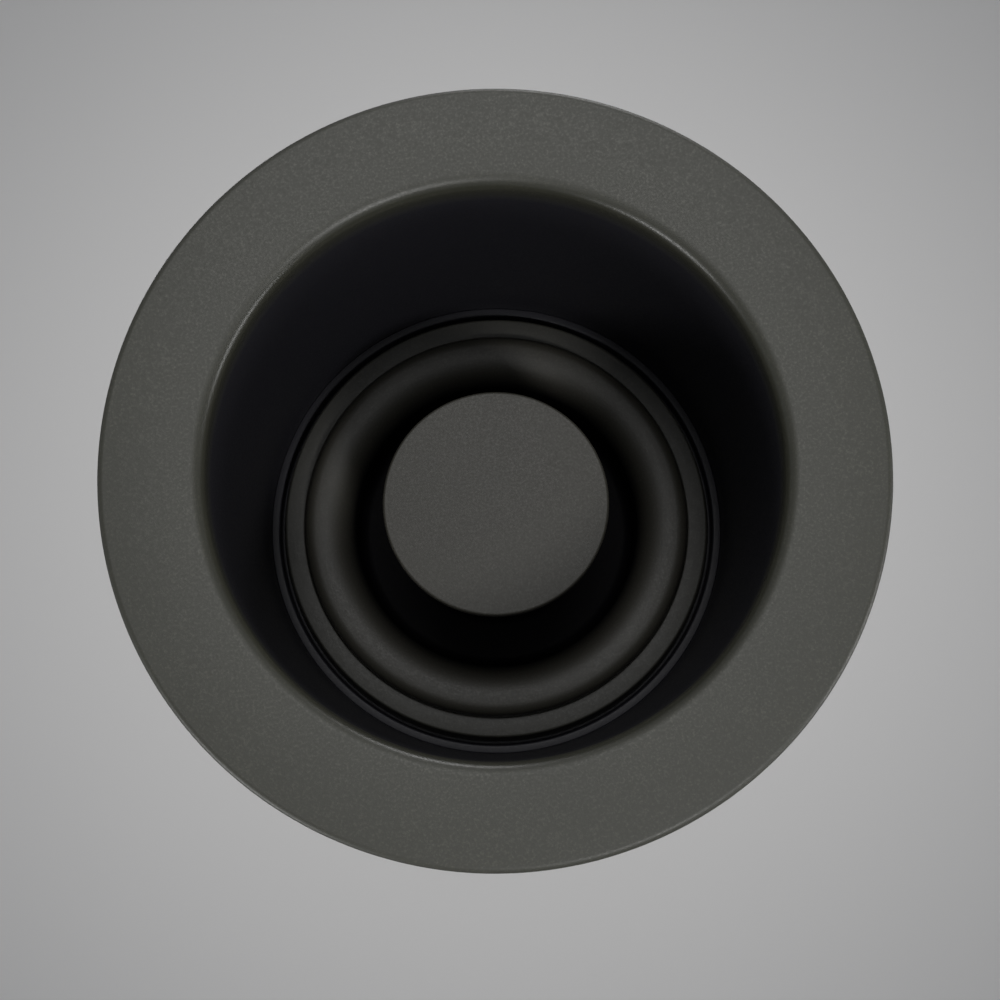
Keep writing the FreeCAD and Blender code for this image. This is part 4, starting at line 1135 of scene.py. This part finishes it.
@dataclass
class Jacket:
    """Two tiers of moulded half shells round the chambers."""

    wall: float = 1.8
    top_z: float = -92.0
    split_z: float = -145.0
    lower_top_z: float = -160.0
    low_z: float = -209.9
    shoulder_r: float = 66.6
    split_r: float = 70.2
    lower_top_r: float = 71.6
    low_r: float = 75.7
    seam: float = 0.3
    collar_r: float = 51.6
    shoulder_drop: float = 9.0
    inlet_z: float = -122.0
    inlet_hole_r: float = 15.6
    arch_half: float = 37.0
    arch_top: float = -162.7
    arch_round: float = 15.0

    @staticmethod
    def groove(z: float, radius: Callable[[float], float]) -> list[Corner]:
        """Fine level groove at a height, in a wall whose outer radius depends on height.

        Args:
            z: The groove's middle.
            radius: The wall's outer radius at a height.

        Returns:
            Its corners from the top down.
        """
        floor_r, half, soft = radius(z) - 0.6, 0.6, 0.15
        return section((radius(z + half), z + half, soft), (floor_r, z + half / 2, soft),
                       (floor_r, z - half / 2, soft), (radius(z - half), z - half, soft))

    def skirt_r(self, z: float) -> float:
        """Outer radius of the upper tier's tapering skirt at a height."""
        high = self.top_z - self.shoulder_drop
        return self.shoulder_r + (self.split_r - self.shoulder_r) * (high - z) / (high - self.split_z)

    def upper_outline(self) -> list[Corner]:
        """Wall section of the upper tier, with its fine grooves.

        Returns:
            The section's corners.
        """
        grooves = [corner for z in (self.top_z - 14.0, self.split_z + 8.0, self.split_z + 5.0)
                   for corner in self.groove(z, self.skirt_r)]
        under_top = self.top_z - 2.4
        return [
            *section((self.collar_r, under_top, 0.5), (self.collar_r, self.top_z, 0.8), (57.0, self.top_z, 7.0),
                     (self.shoulder_r, self.top_z - self.shoulder_drop, 3.0)),
            *grooves,
            *section((self.split_r, self.split_z, 0.6), (self.split_r - self.wall, self.split_z, 0.3),
                     (self.shoulder_r - self.wall, self.top_z - 10.6, 4.0), (56.0, under_top, 4.0)),
        ]

    def lower_outline(self) -> list[Corner]:
        """Wall section of the lower tier, with its fine grooves.

        Returns:
            The section's corners.
        """
        grooves: list[Corner] = []
        for z in (self.lower_top_z - 4.0, self.lower_top_z - 7.0):
            fall = (self.lower_top_z - z) / (self.lower_top_z - self.low_z)
            r = self.lower_top_r + (self.low_r - self.lower_top_r) * fall
            grooves += self.groove(z, lambda _, r=r: r)
        return [
            *section((self.lower_top_r - self.wall, self.lower_top_z, 0.3),
                     (self.lower_top_r, self.lower_top_z, 0.6)),
            *grooves,
            *section((self.low_r, self.low_z, 0.5), (self.low_r - self.wall, self.low_z, 0.3)),
        ]

    def half(self, name: str, outline: list[Corner], first: float, node: str,
             cutter: Piece | None) -> None:
        """Build one half shell.

        Args:
            name: The piece's name.
            outline: The wall's section.
            first: Angle in degrees of its first seam.
            node: The CAD node it replaces.
            cutter: What to cut away, or None.
        """
        gap = math.degrees(self.seam / 2 / self.split_r)
        piece = part_turn(name, outline, first + gap, first + 180.0 - gap, 128, 3)
        if cutter is not None:
            carve(piece, cutter)
        smooth(piece, 30.0)
        place(piece, "housing", "jacket_plastic", node)

    def inlet_cutter(self) -> Piece:
        """Round cutter for the dishwasher inlet's hole on the seam.

        Returns:
            The cutter.
        """
        cutter = prism("inlet_cutter", 64, self.inlet_hole_r, 50.0, 95.0, 0.0)
        tilt(cutter, 90.0, "Y")
        return shift(cutter, z=self.inlet_z)

    def outlet_cutter(self) -> Piece:
        """Arched cutter for the outlet pad.

        Returns:
            The cutter.
        """
        cutter = slab("outlet_cutter", (-self.arch_half, 35.0, self.low_z - 8.0),
                      (self.arch_half, 95.0, self.arch_top))
        edit(cutter)
        choose(cutter, "EDGE", lambda e: all(
            abs(v.co.z - self.arch_top * MM) < 1e-6 for v in e.verts
        ) and abs(e.verts[0].co.x - e.verts[1].co.x) < 1e-6)
        bpy.ops.mesh.bevel(offset=self.arch_round * MM, segments=12, affect="EDGES")
        close()
        return cutter

    def build(self) -> None:
        """Build the four half shells."""
        upper = self.upper_outline()
        lower = self.lower_outline()
        self.half("jacket_upper_rear", upper, 0.0, "upper_jacket_rear", self.inlet_cutter())
        self.half("jacket_upper_front", upper, 180.0, "upper_jacket_front", self.inlet_cutter())
        self.half("jacket_lower_rear", lower, 0.0, "lower_jacket_rear", self.outlet_cutter())
        self.half("jacket_lower_front", lower, 180.0, "lower_jacket_front", None)


# Drain line.

@dataclass
class DrainLine:
    """The discharge elbow."""

    start_y: float = 78.55
    flare_r: float = 21.6
    flare_run: float = 2.0
    pipe_r: float = 19.05
    bore_r: float = 17.3
    turn_y: float = 92.0
    bend_r: float = 30.0
    axis_z: float = -187.0
    end_z: float = -275.0

    def elbow(self) -> None:
        """Pipe spun round the bend from its lower leg, with a flared end."""
        clear()
        leg_y = self.turn_y + self.bend_r
        bpy.ops.mesh.primitive_circle_add(vertices=96, radius=self.pipe_r * MM,
                                          location=(0, leg_y * MM, self.end_z * MM))
        piece = named("elbow_pipe")
        settle(piece)
        edit(piece)
        bpy.ops.mesh.select_all(action="SELECT")
        self.push(0.0, self.axis_z - self.bend_r - self.end_z)
        bpy.ops.mesh.spin(steps=28, angle=-math.pi / 2, axis=(1, 0, 0),
                          center=(0, self.turn_y * MM, (self.axis_z - self.bend_r) * MM))
        self.push(self.start_y + self.flare_run - self.turn_y, 0.0)
        bpy.ops.mesh.extrude_edges_move()
        flare = self.flare_r / self.pipe_r
        bpy.ops.transform.resize(value=(flare, flare, flare),
                                 center_override=(0, (self.start_y + self.flare_run) * MM, self.axis_z * MM))
        self.push(-self.flare_run, 0.0)
        tidy_mesh()
        close()
        wall = piece.modifiers.new("wall", "SOLIDIFY")
        wall.thickness = (self.pipe_r - self.bore_r) * MM
        wall.offset = -1.0
        edge = piece.modifiers.new("edge", "BEVEL")
        edge.width = 0.35 * MM
        edge.segments = 2
        edge.limit_method = "ANGLE"
        edge.angle_limit = math.radians(50)
        apply(piece)
        smooth(piece)
        place(piece, "housing", "pipe_plastic", "discharge_elbow")

    @staticmethod
    def push(y: float, z: float) -> None:
        """Extrude the selected loop by millimetres along Y and Z."""
        bpy.ops.mesh.extrude_edges_move(TRANSFORM_OT_translate={"value": (0, y * MM, z * MM)})

    def build(self) -> None:
        """Build the drain line's pieces."""
        self.elbow()


# Motor.

@dataclass
class Motor:
    """The motor's can with its beads and vents."""

    can_r: float = 76.0
    wall: float = 1.5
    top_z: float = -214.05
    low_z: float = -305.95
    vents: int = 40
    vent_low: float = -296.0
    vent_high: float = -284.0
    vent_half: float = 1.6
    low_bead: float = 0.7
    high_bead: float = 0.9

    def can(self) -> None:
        """Drawn can with rolled beads and a row of round-ended vents."""
        can_r, inner_r = self.can_r, self.can_r - self.wall
        low_r, high_r = self.can_r - self.low_bead, self.can_r - self.high_bead
        corners = section(
            (inner_r, self.low_z, 0.3), (can_r, self.low_z, 0.4), (can_r, -300.6, 0.3), (low_r, -299.8, 0.3),
            (low_r, -299.0, 0.3), (can_r, -298.2, 0.3), (can_r, -226.0, 0.3), (high_r, -224.8, 0.5),
            (high_r, -222.4, 0.5), (can_r, -221.2, 0.3), (can_r, self.top_z, 0.4), (inner_r, self.top_z, 0.3))
        piece = lathe("motor_can", corners, 240, steps=4)
        middle = (self.vent_low + self.vent_high) / 2
        reach = (self.vent_high - self.vent_low) / 2 + self.vent_half
        cutter = slab("vent_cutter", (self.can_r - 5, -self.vent_half, middle - reach),
                      (self.can_r + 5, self.vent_half, middle + reach))
        edit(cutter)
        choose(cutter, "EDGE", lambda e: abs(e.verts[0].co.x - e.verts[1].co.x) > 1e-3)
        bpy.ops.mesh.bevel(offset=self.vent_half * 0.98 * MM, segments=5, affect="EDGES")
        close()
        others = copies_around(cutter, [360.0 * k / self.vents for k in range(1, self.vents)])
        carve(piece, join("vent_cutters", [cutter, *others]))
        smooth(piece, 30.0)
        place(piece, "housing", "motor_paint", "motor_housing")

    def build(self) -> None:
        """Build the motor's modelled pieces."""
        self.can()


# Studio.

@dataclass(frozen=True)
class Lamp:
    """A round soft box, or a soft-edged spot if it has a cone: watts, metres and degrees."""

    name: str
    at: Point
    size: float
    power: float
    aim: Point = (0.0, 0.0, -0.05)
    cone: float = 0.0


FLOOR_LAMPS = (
    Lamp("floor_pool", (-0.034, -0.41, 2.6), 0.2, 208.0, (0.005, 0.05, -0.33), 12.9),
    Lamp("floor_wash", (0.0, 0.0, 3.0), 5.0, 6.0, (0.0, 0.0, -0.33)),
)
LAMPS = (
    Lamp("main_back", (0.05, 0.66, 1.5), 0.9, 9.0),
    Lamp("overhead", (0.0, 0.0, 1.6), 0.8, 2.2),
    Lamp("key_right", (0.25, -0.56, 0.70), 0.17, 3.9),
    Lamp("fill_left", (-1.5, -1.3, 0.0), 0.9, 20.0, (0.0, 0.0, -0.2)),
    Lamp("fill_right", (1.7, -0.8, 0.0), 0.9, 16.0, (0.0, 0.0, -0.2)),
    Lamp("fill_back", (0.5, 1.9, 0.0), 0.9, 18.0, (0.0, 0.0, -0.2)),
)


@dataclass
class Studio:
    """Camera, pale floor and soft lights."""

    camera_at: Point = (-0.0031, -0.0367, 0.2114)
    camera_aim: Point = (0.00019, -0.00488, 0.0)
    lens: float = 53.5
    horizon: float = 0.45
    zenith: float = 0.24
    floor_only: bpy.types.Collection | None = None
    all_but_floor: bpy.types.Collection | None = None

    def camera(self) -> None:
        """Add the camera above the sink opening, tilted towards its front edge."""
        clear()
        bpy.ops.object.camera_add(location=self.camera_at)
        camera = bpy.context.object
        look = Vector(self.camera_aim) - Vector(self.camera_at)
        camera.rotation_euler = look.to_track_quat("-Z", "Y").to_euler()
        camera.data.lens = self.lens
        camera.data.sensor_width = 36.0
        camera.data.clip_start = 0.01
        camera.data.clip_end = 20.0
        bpy.context.scene.camera = camera

    def floor(self) -> None:
        """Add the plain pale floor that the unit stands on."""
        clear()
        base = CAD_BOX[0][2]
        bpy.ops.mesh.primitive_plane_add(size=8.0, location=(0, 0, base))
        floor = bpy.context.object
        floor.name = "studio_floor"
        tree = Tree("pale_floor")
        tree.set(Base_Color=(0.70, 0.69, 0.68, 1.0), Roughness=0.9, Specular_IOR_Level=0.1)
        floor.data.materials.append(tree.material)
        self.floor_only.objects.link(floor)
        self.all_but_floor.objects.link(floor)
        self.all_but_floor.collection_objects[0].light_linking.link_state = "EXCLUDE"

    def light(self, lamp: Lamp, lights: bpy.types.Collection) -> None:
        """Add one lamp.

        Args:
            lamp: What to add.
            lights: What it lights.
        """
        clear()
        bpy.ops.object.light_add(type="SPOT" if lamp.cone else "AREA", location=lamp.at)
        added = bpy.context.object
        added.name = lamp.name
        added.data.energy = lamp.power
        look = Vector(lamp.aim) - Vector(lamp.at)
        added.rotation_euler = look.to_track_quat("-Z", "Y").to_euler()
        added.light_linking.receiver_collection = lights
        if lamp.cone:
            added.data.spot_size = math.radians(lamp.cone)
            added.data.spot_blend = 1.0
            added.data.shadow_soft_size = lamp.size
        else:
            added.data.shape = "DISK"
            added.data.size = lamp.size

    def room(self) -> None:
        """Add the room's light: pale round the horizon and dim overhead."""
        world = bpy.data.worlds.new("soft_room")
        world.use_nodes = True
        nodes, links = world.node_tree.nodes, world.node_tree.links
        split = nodes.new("ShaderNodeSeparateXYZ")
        links.new(nodes.new("ShaderNodeTexCoord").outputs["Generated"], split.inputs["Vector"])
        fade = nodes.new("ShaderNodeMapRange")
        for socket, value in (("From Min", 0.02), ("From Max", 0.35), ("To Min", self.horizon),
                              ("To Max", self.zenith)):
            fade.inputs[socket].default_value = value
        links.new(split.outputs["Z"], fade.inputs["Value"])
        background = nodes["Background"]
        background.inputs["Color"].default_value = (0.84, 0.87, 0.92, 1.0)
        links.new(fade.outputs["Result"], background.inputs["Strength"])
        bpy.context.scene.world = world

    def build(self) -> None:
        """Set up the whole studio."""
        self.floor_only = bpy.data.collections.new("floor_only")
        self.all_but_floor = bpy.data.collections.new("all_but_floor")
        self.camera()
        self.floor()
        for lamp in FLOOR_LAMPS:
            self.light(lamp, self.floor_only)
        for lamp in LAMPS:
            self.light(lamp, self.all_but_floor)
        self.room()
        bpy.context.scene.view_settings.view_transform = "Standard"


def main() -> None:
    """Build every sub-assembly in order, then the studio."""
    logging.basicConfig(level=logging.INFO, format="%(message)s")
    Paint.dress_frame()
    for assembly in (SinkFlange(), Stopper(), SinkMount(), Jacket(), DrainLine(), Motor()):
        assembly.build()
        LOG.info("built %s", type(assembly).__name__)
    Studio().build()


if __name__ == "__main__":
    main()
